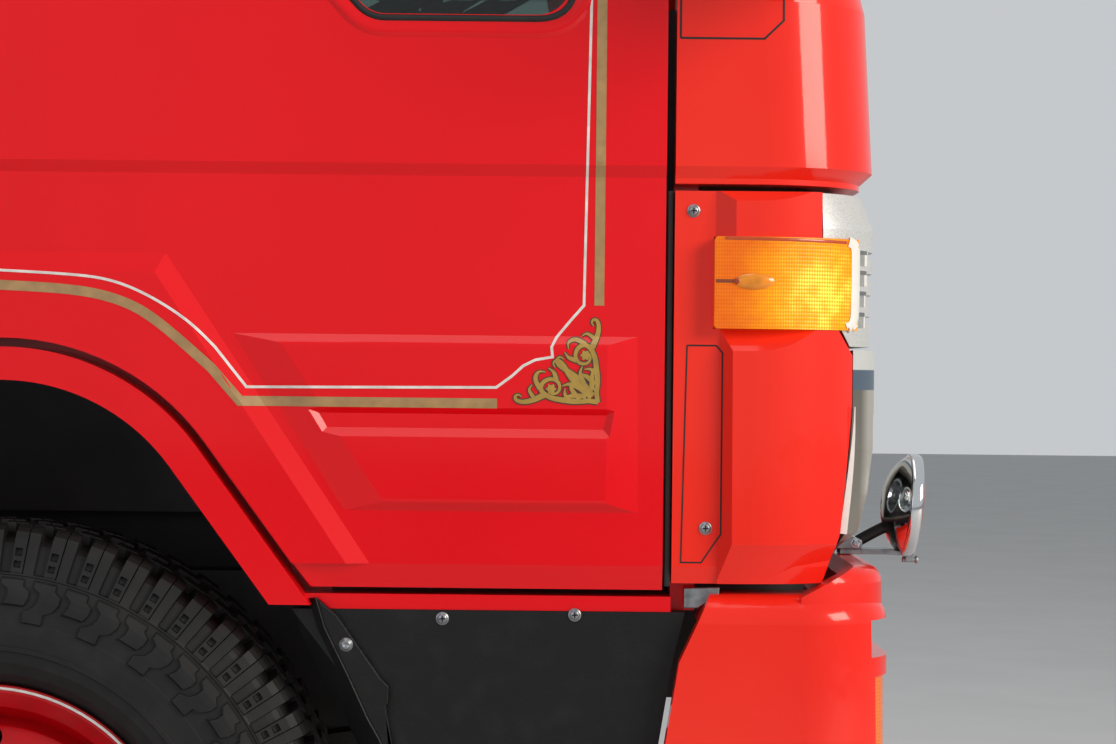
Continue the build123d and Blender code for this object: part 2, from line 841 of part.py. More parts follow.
with BuildPart() as mirror_arm:
    with BuildPart(mode=Mode.PRIVATE) as mirror_head:
        add(block((905, 965), (-1085, -925), (1440, 1720)))
        fillet(mirror_head.edges().filter_by(Axis.X), 34)
        fillet(mirror_head.faces().sort_by(Axis.X)[-1].edges(), 20)
    for height in (1480, 1680):
        add(rod((815, -830, height), (925, -960, height), 11))
    add(cab_outer, mode=Mode.SUBTRACT)
    add(mirror_head.part)
keep("mirrors", pair(mirror_arm.part))

# Chassis frame: two channel rails with cross members, brackets and mounts
rail_outer = 375
rail_flange = 60
rail_web = 7
rail_low = 560
rail_high = 720
frame_front = 900
frame_rear = 10 - body_back
cross_members = (820, -1200, -2000, frame_rear + 630, frame_rear + 40)
spring_y = 345
eye_reach = 560
eye_z = 530
with BuildPart() as half_frame:
    add(block((frame_rear, frame_front), (-rail_outer, -rail_outer + rail_flange), (rail_low, rail_high)))
    add(
        block(
            (frame_rear - 5, frame_front + 5),
            (-rail_outer + rail_web, 0),
            (rail_low + rail_web, rail_high - rail_web),
        ),
        mode=Mode.SUBTRACT,
    )
    for ahead in cross_members:
        add(block((ahead - 35, ahead + 35), (-rail_outer + 3, 0), (640, rail_high - 3)))
    for ahead in (eye_reach, -eye_reach, -wheelbase + eye_reach, -wheelbase - eye_reach):
        add(block((ahead - 30, ahead + 30), (-spring_y - 28, -spring_y + 28), (eye_z + 18, rail_low + 4)))
    for ahead, mount_top in ((690, 790), (-1110, 830)):
        add(block((ahead - 25, ahead + 25), (-365, -320), (rail_high - 4, mount_top)))
    for ahead in (-1400, -2300, frame_rear + 690, frame_rear + 90):
        add(block((ahead - 25, ahead + 25), (-365, -320), (rail_high - 4, 780)))
    add(block((frame_front - 30, bumper_front - bumper_wall - 3), (-370, -320), (580, 700)))
with BuildPart() as chassis_frame:
    add(half_frame.part)
    add(mirror(half_frame.part, about=Plane.XZ))
keep("chassis_frame", chassis_frame.part)

# Axles with their leaf springs
spring_line = [
    (-eye_reach, eye_z - 10),
    (-300, 478),
    (-90, 452),
    (90, 452),
    (300, 478),
    (eye_reach, eye_z - 10),
    (eye_reach, eye_z + 8),
    (300, 500),
    (90, 494),
    (-90, 494),
    (-300, 500),
    (-eye_reach, eye_z + 8),
]


def leaf_springs(centre):
    """Both springs of an axle with their eyes and clamp blocks."""
    with BuildPart() as springs:
        for side in (-1, 1):
            near, far = side * spring_y - 28, side * spring_y + 28
            add(side_prism(spring_line, 0, near, far, centre))
            for ahead in (eye_reach, -eye_reach):
                add(rod((centre + ahead, -far, eye_z), (centre + ahead, -near, eye_z), 18))
            add(block((centre - 62, centre + 62), (-far, -near), (tyre_radius - 60, 502)))
    return springs.part


swivel_y = 650
ball_radius = 80
with BuildPart() as front_axle:
    add(rod((0, -swivel_y, tyre_radius), (0, swivel_y, tyre_radius), 45))
    for side in (-1, 1):
        with Locations((at(0), side * swivel_y, tyre_radius)):
            Sphere(ball_radius)
    with Locations((at(0), -170, tyre_radius)):
        Sphere(128)
    add(leaf_springs(0))
keep("front_axle", front_axle.part)

twin_drum = 150
rear_spindle_end = twin_middle_y + 76
with BuildPart() as rear_axle:
    add(rod((-wheelbase, -490, tyre_radius), (-wheelbase, 490, tyre_radius), 55))
    add(rod((-wheelbase, -rear_spindle_end, tyre_radius), (-wheelbase, rear_spindle_end, tyre_radius), spindle_radius))
    for side in (-1, 1):
        add(rod((-wheelbase, side * 484, tyre_radius), (-wheelbase, side * 494, tyre_radius), 150))
    with Locations((at(-wheelbase), 0, tyre_radius)):
        Sphere(165)
    add(leaf_springs(-wheelbase))
keep("rear_axle", rear_axle.part)

# Engine, gearbox, transfer box and shafts
with BuildPart() as driveline:
    add(block((-140, 640), (-230, 230), (620, 1080)))
    add(block((190, 600), (-160, 160), (490, 625)))
    add(block((-720, -135), (-140, 140), (600, 785)))
    add(block((-1060, -700), (-230, 150), (500, 740)))
    add(rod((-1055, 0, 600), (-wheelbase + 171, 0, tyre_radius + 20), 35))
    for side in (-1, 1):
        add(block((400, 450), (side * 225, side * (rail_outer - rail_web - fit_gap)), (640, 690)))
        add(block((-890, -840), (side * 145, side * (rail_outer - rail_web - fit_gap)), (640, 690)))
    add(rod((-705, -170, 560), (-134, -170, tyre_radius + 20), 30))
keep("driveline", driveline.part)

# Fuel tank on the left, battery box on the right
with BuildPart() as fuel_tank:
    add(block((-2180, -1400), (420, 850), (390, 640)))
    fillet(fuel_tank.edges().filter_by(Axis.X), 50)
with BuildPart() as battery_box:
    add(block((-2000, -1400), (-850, -440), (420, 640)))
    fillet(battery_box.edges().filter_by(Axis.Z), 20)
with BuildPart() as side_tanks:
    add(fuel_tank.part)
    add(block((-2100, -2060), (rail_outer + fit_gap, 425), (600, 640)))
    add(block((-1520, -1480), (rail_outer + fit_gap, 425), (600, 640)))
    add(battery_box.part)
    add(block((-1940, -1900), (-445, -rail_outer - fit_gap), (600, 640)))
    add(block((-1500, -1460), (-445, -rail_outer - fit_gap), (600, 640)))
keep("side_tanks", Compound(children=list(side_tanks.part.solids())))

# Knuckles: a swivel housing round the axle's ball, a backing plate and a spindle
housing_inner = 83
housing_outer = 97
plate_y = 742
plate_thickness = 12
front_spindle_end = 840
with BuildPart() as knuckle:
    with Locations((at(0), -swivel_y, tyre_radius)):
        Sphere(housing_outer)
    add(rod((0, -plate_y, tyre_radius), (0, -plate_y - plate_thickness, tyre_radius), 145))
    with Locations((at(0), -swivel_y, tyre_radius)):
        Sphere(housing_inner, mode=Mode.SUBTRACT)
    add(block((-200, 200), (-swivel_y + 24, 0), (200, 600)), mode=Mode.SUBTRACT)
    add(rod((0, -plate_y, tyre_radius), (0, -front_spindle_end, tyre_radius), spindle_radius))
    for side in (-1, 1):
        seat_z = tyre_radius + side * (ball_radius + fit_gap)
        add(rod((0, -swivel_y, seat_z), (0, -swivel_y, tyre_radius + side * (housing_outer + 12)), 18))
keep("knuckle_right", knuckle.part)
keep("knuckle_left", mirror(knuckle.part, about=Plane.XZ))

# Tyres and rims, turned about the wheel's axis: radius and distance outward
tyre_half = [(bead_radius, 72), (222, 72.5), (250, 104), (330, tyre_half_width), (392, 94), (tyre_radius, 80)]
tyre_line = [*tyre_half, *[(radius, -out) for radius, out in reversed(tyre_half)]]
barrel_half = [
    (213, rim_half_width),
    (flange_radius, rim_half_width),
    (flange_radius, 74),
    (203.5, 72.5),
    (203.5, 40),
    (186, 22),
]
barrel_inner = [(178, 26), (195, 44), (195, 68)]
barrel_line = [
    *barrel_half,
    *[(radius, -out) for radius, out in reversed(barrel_half)],
    *[(radius, -out) for radius, out in reversed(barrel_inner)],
    *barrel_inner,
]
bore = spindle_radius + running_gap
front_disc = [
    (184, 6),
    (158, 40),
    (140, 46),
    (140, -12),
    (bore, -12),
    (bore, 76),
    (0, 76),
    (0, 100),
    (40, 100),
    (58, 86),
    (58, 58),
    (150, 58),
    (170, 46),
    (184, 14),
]
twin_hub = [
    (bore, -152),
    (145, -152),
    (145, -52),
    (62, -40),
    (62, 78),
    (44, 92),
    (0, 92),
    (0, 82),
    (bore, 82),
]
twin_disc_half = [(140, 0), (148, 8), (164, 26), (199, 60), (199, 72), (160, 34), (140, 16), (125, 9), (60, 9)]
twin_disc = [*twin_disc_half, *[(radius, -out) for radius, out in reversed(twin_disc_half[1:])]]
hand_holes = 8


def hand_hole_cutters(x, y, circle, radius, reach):
    """Round bars across the truck, evenly spaced round a wheel's disc."""
    with BuildPart() as cutters:
        for number in range(hand_holes):
            turn = 2 * pi * number / hand_holes
            across = x + circle * cos(turn)
            height = tyre_radius + circle * sin(turn)
            add(rod((across, y - reach, height), (across, y + reach, height), radius))
    return cutters.part


with BuildPart() as front_tyre:
    add(turned(tyre_line, at(0), -front_wheel_y, tyre_radius))
with BuildPart() as front_rim:
    add(turned(barrel_line, at(0), -front_wheel_y, tyre_radius))
    add(turned(front_disc, at(0), -front_wheel_y, tyre_radius))
    add(hand_hole_cutters(0, -front_wheel_y, 157, 13, 75), mode=Mode.SUBTRACT)
with BuildPart() as twin_tyres:
    for offset in (-twin_offset, twin_offset):
        add(turned(tyre_line, at(-wheelbase), -twin_middle_y - offset, tyre_radius))
with BuildPart() as twin_rims:
    for offset in (-twin_offset, twin_offset):
        add(turned(barrel_line, at(-wheelbase), -twin_middle_y - offset, tyre_radius))
    add(turned(twin_disc, at(-wheelbase), -twin_middle_y, tyre_radius))
    add(turned(twin_hub, at(-wheelbase), -twin_middle_y, tyre_radius))
    add(hand_hole_cutters(-wheelbase, -twin_middle_y, 172, 14, 90), mode=Mode.SUBTRACT)
for name, wheel_piece in (
    ("front_tyre", front_tyre.part),
    ("front_rim", front_rim.part),
    ("rear_tyres", twin_tyres.part),
    ("rear_rims", twin_rims.part),
):
    keep(f"{name}_right", Compound(children=list(wheel_piece.solids())))
    keep(f"{name}_left", Compound(children=list(mirror(wheel_piece, about=Plane.XZ).solids())))

# Fire body: a walled shell with a pump bay, shuttered lockers and a low flap each side
body_front = -1260
body_low = 640
deck_low = 1600
deck_top = 1640
coaming_top = 1960
body_corner = 60
rear_arch = dict(top=985, vertex=150, slope=1.36)
bay_front = -1300
bay_rear = -1860
bay_low = 720
bay_high = 1560
shutter_low = 1060
shutter_high = 1560
shutters = [(-3000, -1940), (90 - body_back, -3060)]
flap_front = -wheelbase - 570
flap_rear = 110 - body_back
flap_low = 714
flap_high = 976
body_sections = [(body_low, body_half, body_front), (deck_top, body_half, body_front)]
with BuildPart() as body_shell:
    add(form(body_sections, body_back, 0, 0, body_corner, body_corner))
    add(form(body_sections, body_back, body_wall, 0, body_corner, body_corner), mode=Mode.SUBTRACT)
    add(block((bay_rear, bay_front), (-1000, 1000), (bay_low, bay_high)), mode=Mode.SUBTRACT)
    for rear, front in shutters:
        add(block((min(rear, front), max(rear, front)), (-1000, 1000), (shutter_low, shutter_high)), mode=Mode.SUBTRACT)
    add(block((flap_rear, flap_front), (-1000, 1000), (flap_low, flap_high)), mode=Mode.SUBTRACT)
    add(arch_prism(0, 600, -far_side, far_side, -wheelbase, **rear_arch), mode=Mode.SUBTRACT)
    add(block((-body_back - 10, 0), (-380, 380), (600, 780)), mode=Mode.SUBTRACT)
keep("body_shell", body_shell.part)

with BuildPart() as shutter_set:
    for rear, front in shutters:
        low_x, high_x = min(rear, front), max(rear, front)
        add(
            block(
                (low_x + fit_gap, high_x - fit_gap),
                (-body_half + 12, -body_half + 26),
                (shutter_low + fit_gap, shutter_high - fit_gap),
            )
        )
keep("shutters", pair(shutter_set.part))

# Low flap, hinged along its lower edge, and the locker box behind it
flap_lip = 22
flap_gap = fit_gap
flap_thickness = 20
with BuildPart() as flap:
    add(
        block(
            (flap_rear - flap_lip, flap_front + flap_lip),
            (-body_half - flap_gap - flap_thickness, -body_half - flap_gap),
            (flap_low - flap_lip, flap_high + flap_lip),
        )
    )
    fillet(flap.faces().sort_by(Axis.Y)[0].edges(), 6)
keep("locker_flap_right", flap.part)
keep("locker_flap_left", mirror(flap.part, about=Plane.XZ))

box_wall = 8
box_depth = 420
with BuildPart() as locker_box:
    add(
        block(
            (flap_rear - box_wall, flap_front + box_wall),
            (-body_half + body_wall, -box_depth),
            (flap_low - box_wall, flap_high + box_wall),
        )
    )
    add(
        block(
            (flap_rear, flap_front),
            (-body_half + body_wall - 5, -box_depth - box_wall),
            (flap_low, flap_high),
        ),
        mode=Mode.SUBTRACT,
    )
keep("locker_boxes", pair(locker_box.part))

# Pump bay: a recessed panel with discharge outlets, a suction inlet and gauges
bay_back = 790
bay_lining = 10
outlet_bore = 32.5
outlet_depth = 60
outlet_radius = 44
outlets = [(-1470, 860), (-1690, 860)]
inlet = (-1580, 1090)
gauges = [(-1430, 1440), (-1580, 1440), (-1730, 1440)]
with BuildPart() as pump_panel:
    add(
        block(
            (bay_rear + fit_gap, bay_front - fit_gap),
            (-body_half + 8, -bay_back),
            (bay_low + fit_gap, bay_high - fit_gap),
        )
    )
    add(
        block(
            (bay_rear + bay_lining, bay_front - bay_lining),
            (-body_half - 5, -bay_back - bay_lining),
            (bay_low + bay_lining, bay_high - bay_lining),
        ),
        mode=Mode.SUBTRACT,
    )
    add(rod((inlet[0], -bay_back - 5, inlet[1]), (inlet[0], -bay_back - 70, inlet[1]), 62))
    add(rod((inlet[0], -bay_back - 65, inlet[1]), (inlet[0], -bay_back - 84, inlet[1]), 72))
    for ahead, height in gauges:
        add(rod((ahead, -bay_back - 5, height), (ahead, -bay_back - 40, height), 50))
keep("pump_panels", pair(pump_panel.part))

outlet_seat = bay_back + bay_lining + fit_gap
outlet_end = outlet_seat + outlet_depth + 8
with BuildPart() as pump_outlet:
    for ahead, height in outlets:
        add(rod((ahead, -outlet_seat, height), (ahead, -outlet_end, height), outlet_radius))
        add(rod((ahead, outlet_depth - outlet_end, height), (ahead, -outlet_end - 5, height), outlet_bore), mode=Mode.SUBTRACT)
keep("pump_outlets", pair(pump_outlet.part))

# Floor and wheelhouses under the body, closing it from below
liner_half = 388
liner_plate = 8
centre_low = 780
floor_low = 682
with BuildPart() as body_floor:
    inner_wall = body_half - body_wall
    add(block((-body_back + body_wall, body_front - body_wall), (-inner_wall, inner_wall), (floor_low, floor_low + liner_plate)))
    add(arch_prism(liner_plate, floor_low, -inner_wall, inner_wall, -wheelbase, **rear_arch))
    add(arch_prism(0, 600, -far_side, far_side, -wheelbase, **rear_arch), mode=Mode.SUBTRACT)
    add(
        block((-body_back + body_wall, body_front - body_wall), (-liner_half, liner_half), (600, 1020)),
        mode=Mode.SUBTRACT,
    )
    for side in (-1, 1):
        add(
            block(
                (-body_back + body_wall, body_front - body_wall),
                (side * liner_half, side * (liner_half - liner_plate)),
                (floor_low, 1000),
            )
        )
    add(block((-body_back + body_wall, body_front - body_wall), (-liner_half, liner_half), (centre_low, centre_low + liner_plate)))
    add(block((-wheelbase - 170, -wheelbase + 170), (-liner_half, liner_half), (985, 993)))
    floor_sections = [(600, body_half, body_front), (1100, body_half, body_front)]
    add(form(floor_sections, body_back, body_wall, 0, body_corner, body_corner), mode=Mode.INTERSECT)
keep("body_floor", body_floor.part)

# Deck with its coaming and the beams that carry the ladder and suction hoses
beam_top = 1988
beams = (-1800, 500 - body_back)
coaming_sections = [(deck_low, body_half - body_wall, body_front - body_wall), (deck_top, body_half - body_wall, body_front - body_wall)]
with BuildPart() as hose_deck:
    add(form(coaming_sections, body_back - body_wall, 0, 0, 25, 25))
    with BuildPart(mode=Mode.PRIVATE) as coaming:
        walls = [(deck_top, body_half - 8, body_front - 8), (coaming_top, body_half - 8, body_front - 8)]
        add(form(walls, body_back - 8, 0, 0, body_corner, body_corner))
        add(form(walls, body_back - 8, 30, 0, body_corner, body_corner), mode=Mode.SUBTRACT)
        add(block((-body_back - 10, -body_back + 60), (-640, 640), (deck_top + 70, coaming_top + 10)), mode=Mode.SUBTRACT)
    add(coaming.part)
    for ahead in beams:
        add(block((ahead - 22, ahead + 22), (-870, 870), (coaming_top - 12, beam_top)))
keep("hose_deck", hose_deck.part)

ladder_rear = 80 - body_back
ladder_front = -1360
ladder_half = 205
ladder_low = beam_top + fit_gap
rungs = 9
with BuildPart() as ladder:
    for side in (-1, 1):
        add(block((ladder_rear, ladder_front), (side * ladder_half, side * (ladder_half - 26)), (ladder_low, ladder_low + 62)))
    for number in range(rungs):
        ahead = ladder_rear + 160 + number * (ladder_front - ladder_rear - 320) / (rungs - 1)
        add(rod((ahead, -ladder_half + 10, ladder_low + 31), (ahead, ladder_half - 10, ladder_low + 31), 14))
keep("ladder", ladder.part)

hose_y = 620
hose_radius = 50
hose_rear = 140 - body_back
hose_front = -1560
hose_z = beam_top + hose_radius + fit_gap
with BuildPart() as suction_hose:
    add(rod((hose_rear, -hose_y, hose_z), (hose_front, -hose_y, hose_z), hose_radius))
    for start, stop in ((hose_rear - 15, hose_rear + 75), (hose_front - 75, hose_front + 15)):
        add(rod((start, -hose_y, hose_z), (stop, -hose_y, hose_z), hose_radius + 12))
keep("suction_hoses", pair(suction_hose.part))

# Rear step with its brackets, tail lamps and mud flaps
with BuildPart() as rear_step:
    add(block((tail, 5 - body_back), (-860, 860), (470, 510)))
    fillet(rear_step.edges().filter_by(Axis.Z).sort_by(Axis.X)[:2], 30)
    for side in (-1, 1):
        add(block((tail + 25, 140 - body_back), (side * 315, side * 303), (500, 636)))
keep("rear_step", rear_step.part)

with BuildPart() as tail_lamp:
    with BuildPart(mode=Mode.PRIVATE) as cluster:
        add(block((-body_back - 22, -body_back), (-820, -560), (740, 850)))
        fillet(cluster.faces().sort_by(Axis.X)[0].edges(), 8)
    add(cluster.part)
    add(block((-body_back - 14, -body_back), (-820, -740), (1500, 1550)))
keep("tail_lamps", pair(tail_lamp.part))

with BuildPart() as mud_flap:
    flap_x = -wheelbase - tyre_radius - 97
    add(block((flap_x, flap_x + 6), (-body_half + body_wall + 4, -425), (230, floor_low)))
keep("mud_flaps", pair(mud_flap.part))

# Arch flares, front and rear
with BuildPart() as rear_flare:
    add(arch_prism(0, body_low + 4, body_half - body_wall, body_half + 12, -wheelbase, **rear_arch))
    add(arch_prism(-28, 600, 0, far_side, -wheelbase, **rear_arch), mode=Mode.SUBTRACT)
    add(block((-wheelbase, fit_gap - wheelbase), (-far_side, 0), (800, 1100)), mode=Mode.SUBTRACT)
keep("front_flare_right", flare.part)
keep("front_flare_left", mirror(flare.part, about=Plane.XZ))
keep("rear_flares", pair(rear_flare.part))
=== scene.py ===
import bmesh
import bpy
import numpy as np
from mathutils import Matrix, Vector


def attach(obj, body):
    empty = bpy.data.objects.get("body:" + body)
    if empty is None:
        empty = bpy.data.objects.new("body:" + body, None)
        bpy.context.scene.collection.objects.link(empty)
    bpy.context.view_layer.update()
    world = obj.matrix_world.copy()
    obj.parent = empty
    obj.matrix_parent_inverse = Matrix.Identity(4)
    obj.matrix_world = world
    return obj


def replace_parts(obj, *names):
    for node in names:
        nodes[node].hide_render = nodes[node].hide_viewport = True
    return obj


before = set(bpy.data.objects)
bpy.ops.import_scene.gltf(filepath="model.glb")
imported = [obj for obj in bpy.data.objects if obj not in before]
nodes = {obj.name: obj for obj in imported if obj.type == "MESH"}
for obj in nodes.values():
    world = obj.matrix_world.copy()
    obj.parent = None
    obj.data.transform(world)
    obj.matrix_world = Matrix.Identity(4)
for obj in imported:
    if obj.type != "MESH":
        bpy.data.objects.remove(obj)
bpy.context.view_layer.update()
print("frame loaded:", len(nodes), "nodes")

# where the front axle stands, in metres; most places below are measured ahead of it, in millimetres
frontAxle = {"x": 1.615, "wheelbase": 2.9}


def place(ahead, height):
    # millimetres ahead of the front axle and above the ground, to metres in the truck's frame
    return np.stack([frontAxle["x"] + np.asarray(ahead, float) / 1000, np.asarray(height, float) / 1000], -1)


def metres(ahead, across, height):
    # a point given in millimetres ahead of the front axle, to the left and up, to metres in the truck's frame
    return frontAxle["x"] + ahead / 1000, across / 1000, height / 1000


# colours and shader nodes
def toLinear(hexText):
    # sRGB to linear: c / 12.92 up to 0.04045, and ((c + 0.055) / 1.055) to the power 2.4 above it
    channels = np.array([int(hexText[i:i + 2], 16) for i in (0, 2, 4)]) / 255
    linear = np.where(channels <= 0.04045, channels / 12.92, ((channels + 0.055) / 1.055) ** 2.4)
    return (*linear.tolist(), 1.0)


def addNode(tree, kind, settings=None, links=None):
    # a node with its properties and sockets set, and other nodes' outputs linked to its inputs
    node = tree.nodes.new("ShaderNode" + kind)
    for key, value in (settings or {}).items():
        if isinstance(key, int) or key in node.inputs:
            node.inputs[key].default_value = value
        else:
            setattr(node, key, value)
    for key, source in (links or {}).items():
        tree.links.new(source, node.inputs[key])
    return node


def newMaterial(name, settings):
    # a material, its node tree, its shader with the settings given, and the piece's own coordinates
    material = bpy.data.materials.new(name)
    material.use_nodes = True
    tree = material.node_tree
    tree.nodes.clear()
    shader = addNode(tree, "BsdfPrincipled", settings)
    addNode(tree, "OutputMaterial", links={"Surface": shader.outputs[0]})
    where = addNode(tree, "TexCoord").outputs["Object"]
    return material, tree, shader, where


def layOn(tree, shader, colours, share, height=None, relief=None):
    # two colours mixed by a share, and a relief: its depth in mm and its strength
    if colours:
        ends = {"data_type": "RGBA", 6: toLinear(colours[0]), 7: toLinear(colours[1])}
        mixed = addNode(tree, "Mix", ends, {0: share})
        tree.links.new(mixed.outputs[2], shader.inputs["Base Color"])
    if relief:
        depth, strength = relief
        raised = addNode(tree, "Bump", {"Strength": strength, "Distance": depth / 1000}, {"Height": height})
        tree.links.new(raised.outputs[0], shader.inputs["Normal"])


def mottledFinish(name, colours, blotch, grain, settings):
    # soft blotches of a second colour over a fine grain; blotch: width in mm, detail, the noise value where
    # the second colour starts, where it is full and its most; grain: width, detail, depth in mm, strength
    material, tree, shader, where = newMaterial(name, settings)
    width, detail, start, full, most = blotch
    patches = addNode(tree, "TexNoise", {"Scale": 1000 / width, "Detail": detail}, {"Vector": where})
    spread = {"From Min": start, "From Max": full, "To Max": most}
    share = addNode(tree, "MapRange", spread, {"Value": patches.outputs["Fac"]}).outputs[0]
    height, relief = None, None
    if grain:
        width, detail, *relief = grain
        if detail:
            fine = addNode(tree, "TexNoise", {"Scale": 1000 / width, "Detail": detail}, {"Vector": where})
            height = fine.outputs["Fac"]
        else:
            height = addNode(tree, "TexVoronoi", {"Scale": 1000 / width},
                             {"Vector": where}).outputs["Distance"]
    layOn(tree, shader, colours, share, height, relief)
    return material


def hazedMetal(name, hexText, metallic, scale, detail, haze, relief):
    # a metal whose roughness wanders: haze is the noise values from and to, and the roughness there
    material, tree, shader, where = newMaterial(name, {"Base Color": toLinear(hexText), "Metallic": metallic})
    squeezed = addNode(tree, "Mapping", {"Scale": scale}, {"Vector": where}).outputs[0]
    streak = addNode(tree, "TexNoise", {"Scale": 1.0, "Detail": detail}, {"Vector": squeezed}).outputs["Fac"]
    spread = dict(zip(("From Min", "From Max", "To Min", "To Max"), haze))
    tree.links.new(addNode(tree, "MapRange", spread, {"Value": streak}).outputs[0],
                   shader.inputs["Roughness"])
    layOn(tree, shader, None, None, streak, relief)
    return material


def waves(tree, where, pitches):
    # along each axis that has a pitch in mm: sin(2 pi * coordinate / pitch)
    parts = addNode(tree, "SeparateXYZ", links={"Vector": where})
    found = []
    for axis, pitch in zip("XYZ", pitches):
        if pitch:
            turns = addNode(tree, "Math", {"operation": "MULTIPLY", 1: 2000 * np.pi / pitch},
                            {0: parts.outputs[axis]})
            found.append(addNode(tree, "Math", {"operation": "SINE"}, {0: turns.outputs[0]}).outputs[0])
    return found


def ribbedFinish(name, colours, pitches, relief, settings):
    # height = the waves multiplied; the colours go from its hollows to its crests
    material, tree, shader, where = newMaterial(name, settings)
    height, *others = waves(tree, where, pitches)
    for wave in others:
        height = addNode(tree, "Math", {"operation": "MULTIPLY"}, {0: height, 1: wave}).outputs[0]
    share = addNode(tree, "MapRange", {"From Min": -1.0}, {"Value": height}).outputs[0] if colours else None
    layOn(tree, shader, colours, share, height, relief)
    return material


def lensPlastic(name, colours, pitches, bulb=None, glow=0.0):
    # moulded acrylic lens: fine ribs with painted shade in their hollows, and a painted glow, palest in front
    # of the bulb and deep at the edges; colours are deep, middle and bright; bulb is its place ahead and up
    # and how far its painted glow spreads, in metres
    settings = {"Roughness": 0.25, "Specular IOR Level": 0.25, "Coat Weight": 0.3, "Coat Roughness": 0.08}
    material, tree, shader, where = newMaterial(name, settings)
    # painted shade: the ribs' hollows are darker than their crests, down to 0.55 of them
    cells = addNode(tree, "Math", {"operation": "ADD"},
                    dict(enumerate(waves(tree, where, pitches)))).outputs[0]
    spread = {"From Min": -1.7, "From Max": 0.9, "To Min": 0.55}
    grid = addNode(tree, "MapRange", spread, {"Value": cells}).outputs[0]
    if bulb:
        # the distance from the bulb in the side view, as both sides of the truck have one; the painted glow
        # spreads from it
        centre = {"operation": "MULTIPLY_ADD", 1: (1, 0, 1), 2: (-bulb[0], 0, -bulb[1])}
        apart = addNode(tree, "VectorMath", centre, {0: where}).outputs[0]
        distance = addNode(tree, "VectorMath", {"operation": "LENGTH"}, {0: apart}).outputs["Value"]
        near = {"From Min": 0.014, "From Max": bulb[2], "To Min": 1.0, "To Max": 0.2}
        patches = addNode(tree, "MapRange", near, {"Value": distance}).outputs[0]
        mottle = addNode(tree, "TexNoise", {"Scale": 50.0, "Detail": 4.0}, {"Vector": where}).outputs["Fac"]
        uneven = {"From Min": 0.35, "From Max": 0.65, "To Min": 0.8, "To Max": 1.1}
        wobble = addNode(tree, "MapRange", uneven, {"Value": mottle}).outputs[0]
        patches = addNode(tree, "Math", {"operation": "MULTIPLY"}, {0: patches, 1: wobble}).outputs[0]
    else:
        mottle = addNode(tree, "TexNoise", {"Scale": 20.0, "Detail": 3.0}, {"Vector": where}).outputs["Fac"]
        uneven = {"From Min": 0.35, "From Max": 0.65, "To Min": 0.5}
        patches = addNode(tree, "MapRange", uneven, {"Value": mottle}).outputs[0]
    shade = addNode(tree, "Math", {"operation": "MULTIPLY"}, {0: grid, 1: patches}).outputs[0]
    deep, middle, bright = (toLinear(colour) for colour in colours)
    low = addNode(tree, "MapRange", {"From Min": 0.1, "From Max": 0.6}, {"Value": shade}).outputs[0]
    high = addNode(tree, "MapRange", {"From Min": 0.62, "From Max": 0.95}, {"Value": shade}).outputs[0]
    body = addNode(tree, "Mix", {"data_type": "RGBA", 6: deep, 7: middle}, {0: low}).outputs[2]
    lit = addNode(tree, "Mix", {"data_type": "RGBA", 7: bright}, {0: high, 6: body}).outputs[2]
    tree.links.new(lit, shader.inputs["Base Color"])
    # the painted colours, the glow round the bulb with them, also shine as emission
    if glow:
        tree.links.new(lit, shader.inputs["Emission Color"])
        shader.inputs["Emission Strength"].default_value = glow
    layOn(tree, shader, None, None, cells, (0.3, 0.3))
    return material


def bandedTrim(name, foot, bands):
    # moulding painted in bands, each laid over the ones before it: the axis, from and to in metres, how much
    # of it lies there at each of them, and its colour
    material, tree, shader, where = newMaterial(name, {"Roughness": 0.38, "Metallic": 0.3})
    parts = addNode(tree, "SeparateXYZ", links={"Vector": where})
    below = None
    for axis, start, stop, startShare, stopShare, hexText in bands:
        spread = {"From Min": start, "From Max": stop, "To Min": startShare, "To Max": stopShare}
        share = addNode(tree, "MapRange", spread, {"Value": parts.outputs[axis]}).outputs[0]
        layer = addNode(tree, "Mix", {"data_type": "RGBA", 6: toLinear(foot), 7: toLinear(hexText)},
                        {0: share})
        if below:
            tree.links.new(below, layer.inputs[6])
        below = layer.outputs[2]
    tree.links.new(below, shader.inputs["Base Color"])
    fine = addNode(tree, "TexNoise", {"Scale": 250.0, "Detail": 3.0}, {"Vector": where}).outputs["Fac"]
    layOn(tree, shader, None, None, fine, (0.2, 0.25))
    return material


def paintedLine(name, hexText, roughness=0.4, fade=0.84):
    # sign-writer's enamel laid over the red, in streaks of 15 mm; fade is how far they are darkened
    darker = "%02x%02x%02x" % tuple(int(int(hexText[i:i + 2], 16) * fade) for i in (0, 2, 4))
    settings = {"Roughness": roughness, "Coat Weight": 0.5, "Coat Roughness": 0.08}
    return mottledFinish(name, (hexText, darker), (15, 4, 0.3, 0.75, 1.0), None, settings)


def enamel(name, colours, blotch, grain, roughness, specular, coat, coatRoughness):
    # baked or sprayed enamel under a clear coat
    return mottledFinish(name, colours, blotch, grain, {
        "Roughness": roughness, "Specular IOR Level": specular, "Coat Weight": coat,
        "Coat Roughness": coatRoughness,
    })
